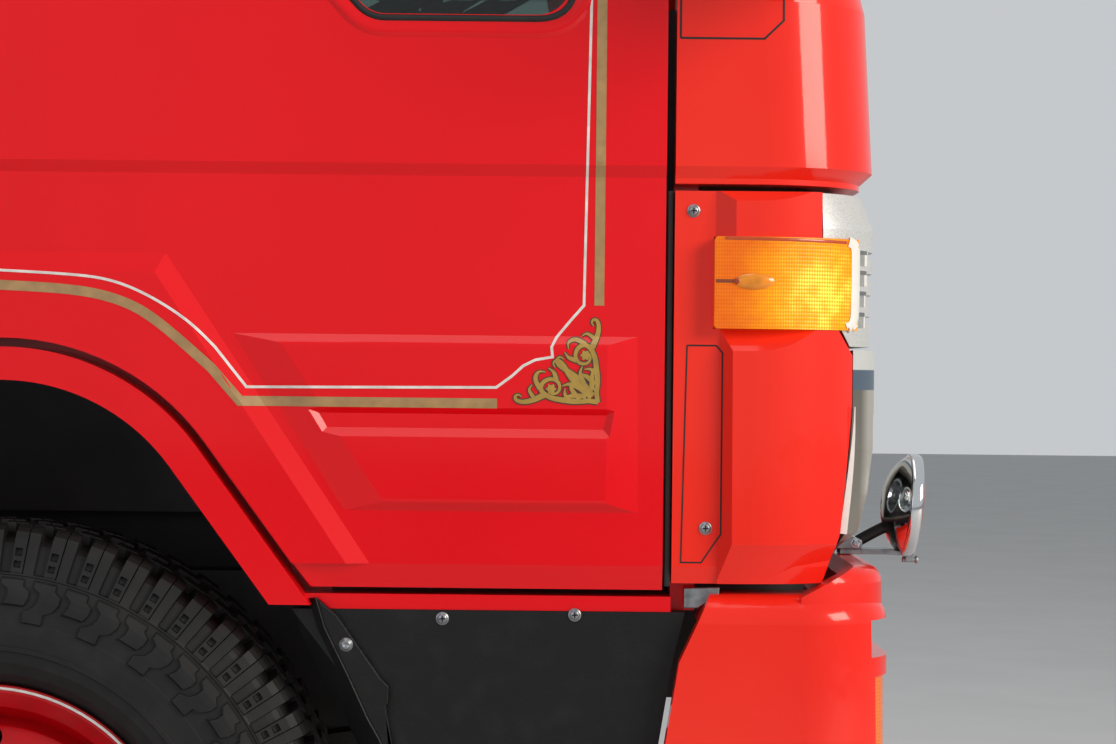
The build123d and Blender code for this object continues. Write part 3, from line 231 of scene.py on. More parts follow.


# the lamp surround's bands: satin grey, a painted highlight along its front edge, painted shade darkening its
# foot, slate blue and silver
surroundBands = [
    ("Z", 0.80, 0.96, 0, 1, "6c6a63"), ("X", 2.603, 2.614, 0, 0.75, "c4c2ba"),
    ("Z", 0.7935, 0.7945, 1, 0, "343c46"),
    ("Z", 0.9665, 0.9675, 0, 1, "56687a"), ("Z", 0.9895, 0.9905, 0, 1, "d6dad9"),
]
paint = {
    # two-pack enamel sprayed over steel and polished: deep red, orange peel under a clear gloss
    "red": enamel("fireRedEnamel", ("e4000f", "ee0716"), (500, 3, 0.35, 0.7, 1.0), (6, 2, 0.3, 0.25), 0.3,
                  0.1, 0.55, 0.07),
    # the same red painted lighter and warmer: painted sunlight on the nose, bumper and corner panels
    "paintedSunlitRed": enamel("paintedSunlitRedEnamel", ("f2261a", "f83320"), (500, 3, 0.35, 0.7, 1.0), (6, 2, 0.3, 0.25), 0.3,
                      0.1, 0.55, 0.07),
    # baked enamel on pressed steel, a little duller and dustier than the cab
    "wheel": enamel("wheelEnamel", ("c4000f", "7d1a1c"), (50, 3, 0.45, 0.75, 0.5), (8, 3, 0.3, 0.3), 0.38,
                    0.2, 0.4, 0.15),
    # brushed-on frame paint: satin black with road dust caught in it
    "black": mottledFinish("blackChassisPaint", ("151617", "3c3a36"), (120, 3, 0.5, 0.8, 0.6),
                           (10, 3, 0.6, 0.5),
                           {"Roughness": 0.55}),
    # injection moulded polypropylene, greyed where rubbed; its 0.5 mm grain is drawn at 2.5 mm to show
    "plastic": mottledFinish("mouldedBlackPlastic", ("08090a", "1b1d1f"), (30, 6, 0.5, 0.8, 0.6),
                             (2.5, None, 0.4, 0.5),
                             {"Roughness": 0.52, "Specular IOR Level": 0.3}),
    # painted polyurethane in charcoal grey
    "grey": mottledFinish("greyBumperPlastic", ("5b6065", "686d71"), (200, 3, 0.4, 0.7, 1.0),
                          (3, 3, 0.2, 0.3),
                          {"Roughness": 0.42}),
    # powder-coated cabin steel under rubber matting
    "cabin": mottledFinish("cabinGrey", ("3c3f42", "4b4e50"), (150, 3, 0.4, 0.7, 1.0), (4, 3, 0.3, 0.4),
                           {"Roughness": 0.6}),
    # silver paint on moulded plastic: fine flake, a third metallic
    "silver": mottledFinish("silverTrim", ("c9cccc", "e2e4e3"), (1.5, 1, 0.35, 0.65, 1.0), (4, 3, 0.2, 0.2),
                            {"Roughness": 0.36, "Metallic": 0.35}),
    # chromium plate on brass, faintly hazed in 20 mm clouds
    "chrome": hazedMetal("chromePlate", "d9dcdf", 1.0, (50, 50, 50), 3.0, (0.4, 0.7, 0.05, 0.14), None),
    # zinc-plated fasteners and brackets with a grey bloom
    "steel": mottledFinish("bareSteel", ("9da2a6", "75797c"), (10, 3, 0.4, 0.75, 1.0), (3, 3, 0.2, 0.4),
                           {"Roughness": 0.35, "Metallic": 0.9}),
    # rolled sheet brushed lengthwise: streaks 2 to 4 mm apart, long along the truck
    "aluminium": hazedMetal("brushedAluminium", "b7babd", 0.95, (3, 250, 500), 2.0, (0.3, 0.7, 0.28, 0.48),
                            (0.2, 0.25)),
    # clear acrylic over a bright reflector, fluted upright every 12 mm: painted shade in the flutes' hollows,
    # painted highlight on their crests
    "clear": ribbedFinish("clearLens", ("dfe3e4", "f6f8f8"), (0, 12, 0), (0.8, 0.5),
                          {"Roughness": 0.1, "Coat Weight": 1.0, "Coat Roughness": 0.03, "Metallic": 0.25}),
    # moulded clear acrylic cover, fluted upright every 12 mm
    "acrylic": ribbedFinish("clearAcrylic", None, (0, 12, 0), (0.4, 0.4), {
        "Base Color": toLinear("f4f8f8"), "Transmission Weight": 1.0, "Roughness": 0.02, "IOR": 1.49,
    }),
    # polyester webbing, ribs drawn 3 mm apart across it
    "web": ribbedFinish("wovenStrap", ("14161a", "2b2e33"), (3, 0, 0), (0.4, 0.5),
                        {"Roughness": 0.8, "Sheen Weight": 0.15}),
    # woven vinyl seat cover, threads drawn 3 mm apart
    "seat": ribbedFinish("wovenSeatVinyl", ("1d2127", "2c323a"), (3, 3, 0), (0.4, 0.5),
                         {"Roughness": 0.75, "Sheen Weight": 0.2}),
    # toughened glass, faintly green, smooth
    "glass": newMaterial("tintedGlass", {
        "Base Color": toLinear("8fa39f"), "Transmission Weight": 1.0, "Roughness": 0.0, "IOR": 1.45,
    })[0],
    # cured tread compound: near black, matt, greyed by dust
    "tyre": mottledFinish("tyreRubber", ("111213", "2c2b2a"), (40, 5, 0.45, 0.8, 0.5), (4, 3, 0.3, 0.4),
                          {"Roughness": 0.6, "Specular IOR Level": 0.35}),
    # extruded rubber: seals, flaps and hose skins
    "rubber": mottledFinish("blackRubber", ("101112", "2a2a2b"), (30, 3, 0.45, 0.8, 0.4), (5, 3, 0.2, 0.3),
                            {"Roughness": 0.7}),
    # lenses, with the pitch of their ribs in mm along, across and up
    # the amber lens: a painted glow round its bulb, spreading 105 mm, which also shines
    "amber": lensPlastic("amberLens", ("dc5c00", "ffa800", "ffee55"), (3.0, 0, 4.2), (2.556, 1.071, 0.105),
                         0.22),
    "amberRound": lensPlastic("amberRound", ("c85200", "ff9200", "ffc63a"), (0, 6, 6)),
    "redLens": lensPlastic("redLens", ("7c040c", "c00a12", "e4141c"), (0, 6, 6)),
    "clearRibs": lensPlastic("clearRibs", ("a9b0b4", "dfe3e4", "f4f6f6"), (0, 9, 9)),
    # the lamp surround's moulding, with a painted highlight on its front edge and painted shade on its foot
    "banded": bandedTrim("bandedTrim", "84827a", surroundBands),
    # enamel lines, and the small smooth parts of the lamps
    "white": paintedLine("whiteLine", "f1ece8"), "gold": paintedLine("goldLine", "b48f5c", 0.35),
    "scrollShade": paintedLine("scrollOutline", "3b2a14", 0.5),
    "scrollGilt": paintedLine("scrollGilt", "b8963f", 0.3),
    "smoothAmber": paintedLine("smoothAmber", "ff9a14", 0.25),
    "amberShade": paintedLine("amberShade", "8a3a06", 0.4),
    "amberEdge": paintedLine("amberEdge", "d24e06", 0.3),
    "lampWhite": paintedLine("lampWhite", "f8f7f2", 0.35, 0.95),
    # painted shade for the lamp louvre's slots: darker under each top edge, grey inside
    "slotShade": paintedLine("slotShade", "6b6f72", 0.6),
    "slotInsideShade": paintedLine("slotInsideShade", "a4a7a6", 0.5),
    "plate": paintedLine("plateEnamel", "eeeee8", 0.3, 0.97),
    "dialWhite": paintedLine("dialWhite", "eceae2", 0.4),
}
nodePaint = {
    # the nose, bumper and corner panels take the red with painted sunlight in it
    "paintedSunlitRed": ["front_bumper", "cab_nose", "corner_panels"],
    "red": ["cab_roof", "cab_back", "cab_sides", "front_flare_right", "front_flare_left", "rear_flares",
            "body_shell",
            "hose_deck", "front_door_right", "front_door_left", "rear_door_right", "rear_door_left",
            "locker_flap_right", "locker_flap_left"],
    "wheel": ["front_rim_right", "front_rim_left", "rear_rims_right", "rear_rims_left"],
    "black": ["chassis_frame", "front_axle", "rear_axle", "driveline", "side_tanks", "knuckle_right",
              "knuckle_left",
              "body_floor", "rear_step"],
    "plastic": ["aprons", "mirrors", "steering_wheel"],
    "grey": ["dashboard"],
    "banded": ["lamp_surround"],
    "cabin": ["cab_floor"],
    "silver": ["grille"],
    "aluminium": ["shutters", "locker_boxes", "pump_panels", "ladder"],
    "clear": ["headlamps"],
    "glass": ["windscreen", "front_door_glass_right", "front_door_glass_left", "rear_door_glass_right",
              "rear_door_glass_left"],
    "amber": ["turn_lamps"],
    "redLens": ["warning_lamps", "light_bar", "tail_lamps"],
    "tyre": ["front_tyre_right", "front_tyre_left", "rear_tyres_right", "rear_tyres_left"],
    "rubber": ["suction_hoses", "mud_flaps"],
    "steel": ["pump_outlets"],
    "seat": ["seats"],
}
for finish, members in nodePaint.items():
    for member in members:
        slots = nodes[member].material_slots
        for slot in slots:
            slot.material = paint[finish]
print("materials laid on", sum(len(members) for members in nodePaint.values()), "nodes")


# mesh helpers: a shape is (points, faces)
def gridFaces(rows, columns, closedRows=False, closedColumns=False):
    # quads between neighbours of a rows by columns grid of points
    r = np.arange(rows if closedRows else rows - 1)[:, None]
    c = np.arange(columns if closedColumns else columns - 1)[None, :]
    nextRow, nextColumn = (r + 1) % rows * columns, (c + 1) % columns
    corners = [r * columns + c, r * columns + nextColumn, nextRow + nextColumn, nextRow + c]
    return np.stack(np.broadcast_arrays(*corners), -1).reshape(-1, 4)


def joined(shapes):
    # several shapes as one: each one's corner numbers move on by the number of points before it
    points, faces, count = [], [], 0
    for shapePoints, shapeFaces in shapes:
        shapePoints = np.asarray(shapePoints, float).reshape(-1, 3)
        points.append(shapePoints)
        if isinstance(shapeFaces, np.ndarray):
            faces += (shapeFaces + count).tolist()
        else:
            faces += [[corner + count for corner in face] for face in shapeFaces]
        count += len(shapePoints)
    return np.concatenate(points), faces


def makePiece(name, shape, finish, body="chassis", smooth=False, closed=True):
    # points that no face uses are left out, doubled ones merged, and closed shapes' faces turned outwards
    points = np.asarray(shape[0], float).reshape(-1, 3)
    faces = shape[1].tolist() if isinstance(shape[1], np.ndarray) else shape[1]
    used, corners = np.unique(np.concatenate(faces), return_inverse=True)
    corners = iter(corners.tolist())
    faces = [[next(corners) for corner in face] for face in faces]
    mesh = bpy.data.meshes.new(name)
    mesh.from_pydata(points[used].tolist(), [], faces)
    work = bmesh.new()
    work.from_mesh(mesh)
    bmesh.ops.remove_doubles(work, verts=work.verts, dist=2e-6)
    if closed:
        bmesh.ops.recalc_face_normals(work, faces=work.faces)
    work.to_mesh(mesh)
    work.free()
    mesh.polygons.foreach_set("use_smooth", np.full(len(mesh.polygons), smooth))
    mesh.materials.append(paint[finish])
    mesh.update()
    piece = bpy.data.objects.new(name, mesh)
    bpy.context.scene.collection.objects.link(piece)
    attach(piece, body)
    return piece


def softened(piece, width, segments=2):
    # rounds the piece's sharp edges by a width in mm
    bevel = piece.modifiers.new("softened", "BEVEL")
    bevel.width = width / 1000
    bevel.segments = segments
    bevel.limit_method = "ANGLE"
    bevel.angle_limit = np.radians(35)
    return piece


def walled(piece, thickness, offset=-1):
    # gives an open sheet a wall, in metres: behind it, or with offset 0 to both sides
    wall = piece.modifiers.new("wall", "SOLIDIFY")
    wall.thickness = thickness
    wall.offset = offset
    return piece


def slideOnto(starts, target, axis, sign):
    # points slide along an axis of the frame, up or down it by sign, until they meet a node's skin
    probe = bpy.data.meshes.new("probe")
    probe.from_pydata(starts.reshape(-1, 3).tolist(), [], [])
    feeler = bpy.data.objects.new("probe", probe)
    bpy.context.scene.collection.objects.link(feeler)
    wrap = feeler.modifiers.new("slide", "SHRINKWRAP")
    wrap.target = nodes[target]
    wrap.wrap_method = "PROJECT"
    setattr(wrap, "use_project_" + axis, True)
    wrap.use_positive_direction = sign > 0
    wrap.use_negative_direction = sign < 0
    slid = feeler.evaluated_get(bpy.context.evaluated_depsgraph_get()).to_mesh()
    found = np.empty(starts.size)
    slid.vertices.foreach_get("co", found)
    bpy.data.objects.remove(feeler)
    bpy.data.meshes.remove(probe)
    return found.reshape(starts.shape)


# in metres: where the points that feel for a skin start, out and ahead, and past where they met nothing
feel = {"out": 1.3, "missed": 1.2, "ahead": 3.0}


def surfaceOut(spots, target, side):
    # how far out from the truck's middle the skin of a node, or of the outermost of several, lies
    if isinstance(target, tuple):
        found = [surfaceOut(spots, name, side) for name in target]
        outer = np.max([np.where(out > feel["missed"], 0, out) for out in found], axis=0)
        return np.where(outer > 0, outer, feel["out"])
    spots = np.asarray(spots, float)
    starts = np.stack([spots[..., 0], np.full(spots.shape[:-1], side * feel["out"]), spots[..., 1]], -1)
    return side * slideOnto(starts, target, "y", -side)[..., 1]


def surfaceAhead(across, height, target):
    # the foremost place along the truck where a node's skin lies, at points given across and up in metres
    across, height = np.broadcast_arrays(np.asarray(across, float), np.asarray(height, float))
    starts = np.stack([np.full(across.shape, feel["ahead"]), across, height], -1)
    return slideOnto(starts, target, "x", -1)[..., 0]


def onSkin(spots, out, side):
    # side-view places in metres and how far out they lie, to points
    return np.stack([spots[..., 0], np.broadcast_to(side * out, spots.shape[:-1]), spots[..., 1]], -1)


def evenly(path, step):
    # the corners of a path stay, and each run between them is divided into equal steps
    path = np.asarray(path, float)
    runs = np.linalg.norm(np.diff(path, axis=0), axis=1)
    path = path[np.concatenate([[True], runs > 1e-9])]
    runs = runs[runs > 1e-9]
    counts = np.maximum(1, np.ceil(runs / step).astype(int))
    shares = [np.linspace(0, 1, count, endpoint=False)[:, None] for count in counts]
    parts = [start + (end - start) * share for start, end, share in zip(path, path[1:], shares)]
    return np.concatenate(parts + [path[-1:]])


def rounded(path, times=3):
    # cuts each corner at a quarter and three quarters of its runs, as often as asked
    path = np.asarray(path, float)
    for _ in range(times):
        first, second = path[:-1], path[1:]
        cut = np.stack([first * 0.75 + second * 0.25, first * 0.25 + second * 0.75], 1)
        path = np.concatenate([path[:1], cut.reshape(-1, path.shape[1])[1:-1], path[-1:]])
    return path


def rectangle(left, right, low, high):
    # four corners of an upright rectangle
    return np.array([(left, low), (right, low), (right, high), (left, high)], float)


def roundedLoop(corners, radius, steps=8):
    # a closed outline with quadratic curves for corners, as long as a fillet's: radius * tan(half the turn)
    corners = np.asarray(corners, float)
    before = np.roll(corners, 1, axis=0) - corners
    after = np.roll(corners, -1, axis=0) - corners
    before /= np.linalg.norm(before, axis=1, keepdims=True)
    after /= np.linalg.norm(after, axis=1, keepdims=True)
    reach = radius / np.tan(np.arccos(np.clip((before * after).sum(1, keepdims=True), -1, 1)) / 2)
    starts = corners + before * reach
    ends = corners + after * reach
    t = np.linspace(0, 1, steps)[None, :, None]
    curve = (1 - t) ** 2 * starts[:, None] + 2 * t * (1 - t) * corners[:, None] + t ** 2 * ends[:, None]
    return curve.reshape(-1, 2)


def stripOffsets(path, offsets, closed=False):
    # lines beside a path in the side view at the given offsets to its left, mitred at the corners
    path = np.asarray(path, float)
    following = np.roll(path, -1, axis=0) - path if closed else np.diff(path, axis=0)
    following = following / np.linalg.norm(following, axis=1, keepdims=True)
    left = np.stack([-following[:, 1], following[:, 0]], 1)
    before = np.roll(left, 1, axis=0) if closed else np.concatenate([left[:1], left])
    after = left if closed else np.concatenate([left, left[-1:]])
    mitre = (before + after) / np.maximum(0.35, 1 + (before * after).sum(1, keepdims=True))
    offsets = np.broadcast_to(offsets, (len(path), np.shape(offsets)[-1]))
    return path[:, None, :] + mitre[:, None, :] * offsets[:, :, None]


def outward(points, faces, side):
    # turns an open sheet's faces away from the truck, by the cross product of each face's diagonals
    flat = points.reshape(-1, 3)
    a, b, c, d = (flat[faces[:, i]] for i in range(4))
    wrong = np.cross(c - a, d - b)[:, 1] * side < 0
    return np.where(wrong[:, None], faces[:, ::-1], faces)


def skinStrip(path, width, target, side, lift=0.5, columns=3, step=4.0, crown=0.0, closed=False):
    # a strip along a side-view path in mm: out = skin + lift + crown * (1 - across squared)
    path = evenly(np.concatenate([path, path[:1]]) if closed else path, step)
    width = np.asarray(width, float)
    if width.ndim:
        width = np.interp(np.linspace(0, 1, len(path)), np.linspace(0, 1, len(width)), width)[:, None]
    across = np.linspace(-0.5, 0.5, columns)
    lines = stripOffsets(path, across * width)
    spots = place(lines[..., 0], lines[..., 1])
    out = surfaceOut(spots, target, side) + (lift + crown * (1 - (2 * across) ** 2)) / 1000
    points = onSkin(spots, out, side)
    keep = out.max(1) < feel["missed"]
    faces = gridFaces(*points.shape[:2])
    faces = faces[(keep[:-1] & keep[1:]).repeat(columns - 1)]
    return points, outward(points, faces, side)


def turned(profile, centre, axis, steps=32):
    # a profile of (along, radius) in mm spun: centre + along * axis + radius * (cos a * u + sin a * v)
    profile = np.asarray(profile, float) / 1000
    axis = np.asarray(axis, float) / np.linalg.norm(axis)
    u = np.cross(axis, (0, 0, 1) if abs(axis[2]) < 0.9 else (1, 0, 0))
    u /= np.linalg.norm(u)
    v = np.cross(axis, u)
    angle = np.arange(steps) * 2 * np.pi / steps
    ring = np.cos(angle)[:, None] * u + np.sin(angle)[:, None] * v
    points = np.asarray(centre, float) + profile[:, None, :1] * axis + profile[:, None, 1:] * ring
    return points, gridFaces(len(profile), steps, closedColumns=True)


def tube(path, radius, sides=10, closed=False):
    # rings of a radius in mm carried along a path in metres, with domed ends if the path is open
    path = np.asarray(path, float)
    heading = np.roll(path, -1, 0) - np.roll(path, 1, 0) if closed else np.gradient(path, axis=0)
    heading /= np.linalg.norm(heading, axis=1, keepdims=True)
    aside = np.cross(heading, (0.123, 0.217, 0.968))  # a direction that no path here runs along
    aside /= np.linalg.norm(aside, axis=1, keepdims=True)
    up = np.cross(heading, aside)
    radius = np.broadcast_to(np.asarray(radius, float) / 1000, len(path)).copy()
    if not closed:
        first, last = radius[[0, -1]] * 0.6
        path = np.concatenate([path[:1] - heading[:1] * first, path, path[-1:] + heading[-1:] * last])
        radius = np.concatenate([[1e-7], radius, [1e-7]])
        aside, up = (np.concatenate([line[:1], line, line[-1:]]) for line in (aside, up))
    angle = np.arange(sides)[None, :, None] * 2 * np.pi / sides
    rings = aside[:, None] * np.cos(angle) + up[:, None] * np.sin(angle)
    faces = gridFaces(len(path), sides, closedRows=closed, closedColumns=True)
    return path[:, None] + rings * radius[:, None, None], faces


def slab(outline, near, far, plane="side"):
    # an outline in mm pushed between two distances, in the side view, in plan (top) or across (front)
    outline = np.asarray(outline, float)
    ends = []
    for depth in (near, far):
        third = np.full(len(outline), depth, float)
        first, second = outline.T
        order = {"side": (first, third, second), "top": (first, second, third),
                 "front": (third, first, second)}[plane]
        ends.append(np.stack(order, -1) / 1000 + (frontAxle["x"], 0, 0))
    count = len(outline)
    walls = [[i, (i + 1) % count, count + (i + 1) % count, count + i] for i in range(count)]
    return np.concatenate(ends), walls + [list(range(count)), list(range(2 * count - 1, count - 1, -1))]


# the picture's scale on the cab's side, and where its first pixel lies ahead of the axle and up
picture = {"mmPerPixel": 1.115, "ahead": 21.2, "top": 1398.7}
mmPerPixel = picture["mmPerPixel"]


def photoMm(pixels):
    # places in the picture to side-view millimetres
    pixels = np.asarray(pixels, float)
    ahead = mmPerPixel * pixels[..., 0] + picture["ahead"]
    return np.stack([ahead, picture["top"] - mmPerPixel * pixels[..., 1]], -1)


sides = {"right": -1, "left": 1}


# painted frame lines: a thin white line and a broad gold one round both doors
frameLines = {
    "white": 3.0, "gold": 11.0, "front": 676.8, "goldStep": 11.5, "top": 2005, "lean": 120 / 610,
    "leanFrom": 1430, "rearShift": -308.2,
    "whiteArch": [(71, 279), (111, 284), (150, 300), (189, 325), (214, 350), (246, 390)],
    "whiteCorner": [(496, 388), (511, 377), (523, 366), (535, 360), (552, 357), (551, 347), (556, 337),
                    (570, 320), (583, 305)],
    "goldArch": [(71, 293.5), (118, 303), (154, 321.5), (211, 371), (240, 404)],
    "goldEnd": (497, 404), "goldStart": 305,
}
panels = [("front_door_{}", "front_door_{}", -223.5, 760.5), ("cab_sides", "chassis", -286, -234),
          ("rear_door_{}", "rear_door_{}", -1068, -296.5)]


def framePaths():
    # the white line is one closed loop; the gold one stops either side of each scroll corner
    f = frameLines
    topFront = f["front"] - (f["top"] - f["leanFrom"]) * f["lean"]
    topGold = f["top"] + 13
    archWhite = photoMm(f["whiteArch"])
    archWhite = np.concatenate([rounded(np.concatenate([[(0, 1092)], archWhite[:-1]])), archWhite[-1:]])
    cornerWhite = photoMm(f["whiteCorner"])
    rearOf = lambda path: np.stack([f["rearShift"] - path[:, 0], path[:, 1]], -1)[::-1]
    behind = lambda path: path[::-1] * (-1, 1)
    white = np.concatenate([
        archWhite, cornerWhite, [(f["front"], f["leanFrom"]), (topFront, f["top"])],
        [(f["rearShift"] - f["front"], f["top"])], rearOf(cornerWhite), behind(archWhite),
    ])
    archGold = photoMm(f["goldArch"])
    archGold = np.concatenate([rounded(np.concatenate([[(0, 1075.5)], archGold[:-1]])), archGold[-1:]])
    low = np.concatenate([archGold, [photoMm(f["goldEnd"])]])
    goldX = f["front"] + f["goldStep"]
    startZ = photoMm((0, f["goldStart"]))[1]
    high = np.array([
        (goldX, startZ), (goldX, f["leanFrom"]), (goldX - (topGold - f["leanFrom"]) * f["lean"], topGold),
        (f["rearShift"] - goldX, topGold), (f["rearShift"] - goldX, startZ),
    ])
    return {"white": [white], "gold": [np.concatenate([rearOf(low)[:1], behind(low)[1:], low]), high]}


for sideName, side in sides.items():
    for colour, paths in framePaths().items():
        for target, body, low, high in panels:
            strips = []
            for path in paths:
                fine = evenly(path, 4.0)
                inside = np.flatnonzero((fine[:, 0] > low) & (fine[:, 0] < high))
                for run in np.split(inside, np.flatnonzero(np.diff(inside) > 1) + 1):
                    if len(run) > 1:
                        strips.append(skinStrip(fine[run], frameLines[colour], target.format(sideName), side,
                                                0.4))
            makePiece(f"{colour}Line_{target.format(sideName)}_{sideName}", joined(strips), colour,
                      body.format(sideName), closed=False)
print("frame lines painted")


# gilt scroll in each corner of the frame: strokes from its outer corner, one half and its mirror image
scroll = {
    "corner": (600, 404), "outline": 2.4, "shadeLift": 0.5, "giltLift": 1.0, "level": 0.012,
    # points of each stroke (across, up) in pixels of the picture, then its widths from start to end
    "strokes": [
        ([(4, 3), (2.5, 18), (3.5, 34), (6, 50), (13, 60), (22, 58), (26, 49), (22, 41), (14, 40), (9.5, 45),
          (11, 51), (15, 52)], [3, 5.5, 5, 4, 3, 1.4]),
        ([(9, 56), (4, 66), (1.5, 76), (3, 84), (7.5, 85.5), (9.5, 81.5), (7, 78.5)], [6, 4.5, 3, 1.2]),
        ([(8, 8), (18, 22), (30, 32), (40, 37), (45, 43), (41, 48), (36.5, 45)], [7, 6, 5, 3, 1.2]),
        ([(15, 60), (25, 66), (33, 62), (32, 55)], [5, 4, 1]),
        ([(6, 66), (14, 72), (19, 68)], [4, 3, 1]),
        ([(24, 44), (32, 46), (36, 52)], [5, 3.5, 1]),
        ([(5, 20), (13, 28), (20, 30), (22, 26)], [4.5, 4.5, 3, 1]),
        ([(3, 30), (10, 36), (16, 35)], [4, 3.5, 1]),
        ([(20, 16), (31, 21), (38, 18)], [5, 4, 1]),
        ([(14, 8), (28, 9), (37, 6)], [5, 4.5, 1.2]),
        ([(2, 2), (12, 4), (22, 3)], [4, 5, 2]),
    ],
    "roses": [((15, 49), 5.2)],
}


def scrollStrips(target, side, rear, widen, lift):
    # each stroke lies on a level of its own, so that no two share a plane where they cross
    strips = []
    for swap in (False, True):
        for points, widths in scroll["strokes"]:
            points = rounded(np.array(points, float)[:, ::-1] if swap else points, 3)
            strips.append((points, np.array(widths) * mmPerPixel + widen))
        for centre, radius in scroll["roses"]:
            centre = centre[::-1] if swap else centre
            for turn in np.arange(6) * np.pi / 3:
                tip = (centre[0] + radius * np.cos(turn), centre[1] + radius * np.sin(turn))
                strips.append((np.array([centre, tip]), np.array([1.2, 5.0, 1.0]) * mmPerPixel + widen * 0.6))
    shapes = []
    for level, (points, widths) in enumerate(strips):
        spots = photoMm(np.asarray(scroll["corner"]) - points)
        if rear:
            spots = np.stack([frameLines["rearShift"] - spots[:, 0], spots[:, 1]], -1)
        shapes.append(skinStrip(spots, widths, target, side, lift + scroll["level"] * level, columns=3,
                                step=2.0))
    return joined(shapes)


for sideName, side in sides.items():
    for door, rear in (("front_door_" + sideName, False), ("rear_door_" + sideName, True)):
        makePiece("scrollShade_" + door,
                  scrollStrips(door, side, rear, scroll["outline"], scroll["shadeLift"]), "scrollShade", door,
                  closed=False)
        makePiece("scroll_" + door, scrollStrips(door, side, rear, 0, scroll["giltLift"]), "scrollGilt", door,
                  closed=False)
print("scroll corners painted")


# tyres: a carcass with lugs raised from it, both read from one table of rows
tyre = {
    "lugs": 58, "height": 0.403,
    # places across one lug as parts of its pitch, and how much of it stands there in each kind of row
    "across": [0.0, 0.03, 0.17, 0.325, 0.34, 0.355, 0.43, 0.45, 0.62, 0.64, 0.69, 0.72, 0.86],
    "kinds": {
        "bare": [0] * 13,
        "side": [0, 0.75, 0.75, 0.75, 0.3, 1, 1, 1, 1, 1, 1, 0, 0],
        "slot": [0, 0.75, 0.75, 0.75, 0.3, 1, 1, 0.35, 0.35, 1, 1, 0, 0],
        "zig": [0, 1, 1, 1, 1, 1, 1, 1, 1, 1, 0.9, 0, 0],
        "tread": [0, 1, 1, 1, 0.45, 1, 1, 1, 1, 1, 1, 0, 0],
    },
    # carcass radius and out, lug radius and out, kind of row, twist in pitches, and the step between lugs
    "rows": [
        (204, 72, 204, 72, "bare", 0, 1), (214, 74, 214, 74, "bare", 0, 1),
        (221, 73.5, 221, 73.5, "bare", 0, 1),
        (226, 82, 226, 82, "bare", 0, 1), (236, 95, 236, 95, "bare", 0, 1),
        (250, 103, 250, 103, "bare", 0, 1),
        (262, 105.5, 262, 105.5, "bare", 0, 1), (263, 107.5, 263, 107.5, "bare", 0, 1),
        (268, 108, 268, 108, "bare", 0, 1),
        (269, 106.5, 269, 106.5, "bare", 0, 1), (284, 107.5, 284, 107.5, "bare", 0, 1),
        (296, 107.5, 296, 107.5, "bare", 0.42, 1),
        (297, 107.2, 298.5, 111.4, "zig", 0.42, 2), (310, 107.2, 310, 111.8, "zig", 0.42, 2),
        (314, 107.2, 314, 112, "zig", 0.2, 2),
        (316, 107.2, 317, 112, "zig", 0.1, 1), (325, 107, 325, 112, "zig", 0.0, 1),
        (333, 106.4, 333, 111.2, "zig", 0.0, 1),
        (338, 105.6, 338, 109.8, "zig", 0.22, 1), (345, 104.4, 344, 107.9, "zig", 0.22, 1),
        (346, 104.2, 346, 104.2, "bare", 0.22, 1),
        (348, 104.0, 348, 104.0, "bare", 0.1, 1), (349, 105.2, 349, 105.2, "bare", 0, 1),
        (350.5, 105.0, 350.5, 105.0, "bare", 0, 1),
        (351.5, 98.5, 352.5, 105.6, "side", 0, 1), (357, 96.8, 357, 104.2, "side", 0, 1),
        (357.8, 96.6, 357.8, 104, "slot", 0, 1),
        (364, 94.8, 364, 102.2, "slot", 0, 1), (364.8, 94.5, 364.8, 102, "side", 0, 1),
        (370, 93, 370, 100.4, "side", 0, 1),
        (370.8, 92.7, 370.8, 100.2, "slot", 0, 1), (377, 90.5, 378, 98.2, "slot", 0, 1),
        (378, 90, 379, 98, "side", 0, 1),
        (383, 87, 389, 95, "side", 0, 1), (387, 82, 397, 90, "tread", 0, 1),
        (389.5, 77, 401, 83, "tread", 0, 1), (390.5, 72, 403, 76, "tread", 0, 1),
        (391, 60, 403, 60, "tread", 0.05, 1), (391, 50, 403, 51, "tread", 0.18, 1),
        (391, 49, 391, 49, "bare", 0.18, 1),
        (391, 42, 391, 42, "bare", 0.6, 1), (391, 41, 403, 40, "tread", 0.6, 1),
        (391, 24, 403, 24, "tread", 0.42, 1),
        (391, 10, 403, 11, "tread", 0.6, 1), (391, 9, 391, 9, "bare", 0.6, 1),
    ],
}


def tyreShape(centreX, centreY, side, picks):
    # point = carcass + height * (lug top - carcass), turned by lug number + place across + twist, in pitches
    table = tyre["rows"]
    numbers = np.array([row[:4] for row in table], float)
    kinds = np.array([np.array(tyre["kinds"][row[4]], float)[picks] for row in table])
    twist = np.array([row[5] for row in table], float)
    each = np.array([row[6] for row in table])
    lug = np.arange(tyre["lugs"])
    present = (lug[None, :] % each[:, None] == 0)
    heights = (kinds[:, None, :] * present[:, :, None]).reshape(len(table), -1)
    phase = (lug[:, None] + np.array(tyre["across"])[picks][None, :]).reshape(1, -1)
    halves = []
    for sign, start in ((1, 0.0), (-1, 0.5)):
        radius = numbers[:, :1] + heights * (numbers[:, 2:3] - numbers[:, :1])
        out = numbers[:, 1:2] + heights * (numbers[:, 3:] - numbers[:, 1:2])
        turn = (phase + start + sign * twist[:, None]) * 2 * np.pi / tyre["lugs"]
        half = np.stack([radius * np.cos(turn), sign * side * out, radius * np.sin(turn)], -1) / 1000
        halves.append(half if sign > 0 else half[::-1])
    points = np.concatenate(halves) + (centreX, centreY, tyre["height"])
    return points, gridFaces(*points.shape[:2], closedRows=True, closedColumns=True)


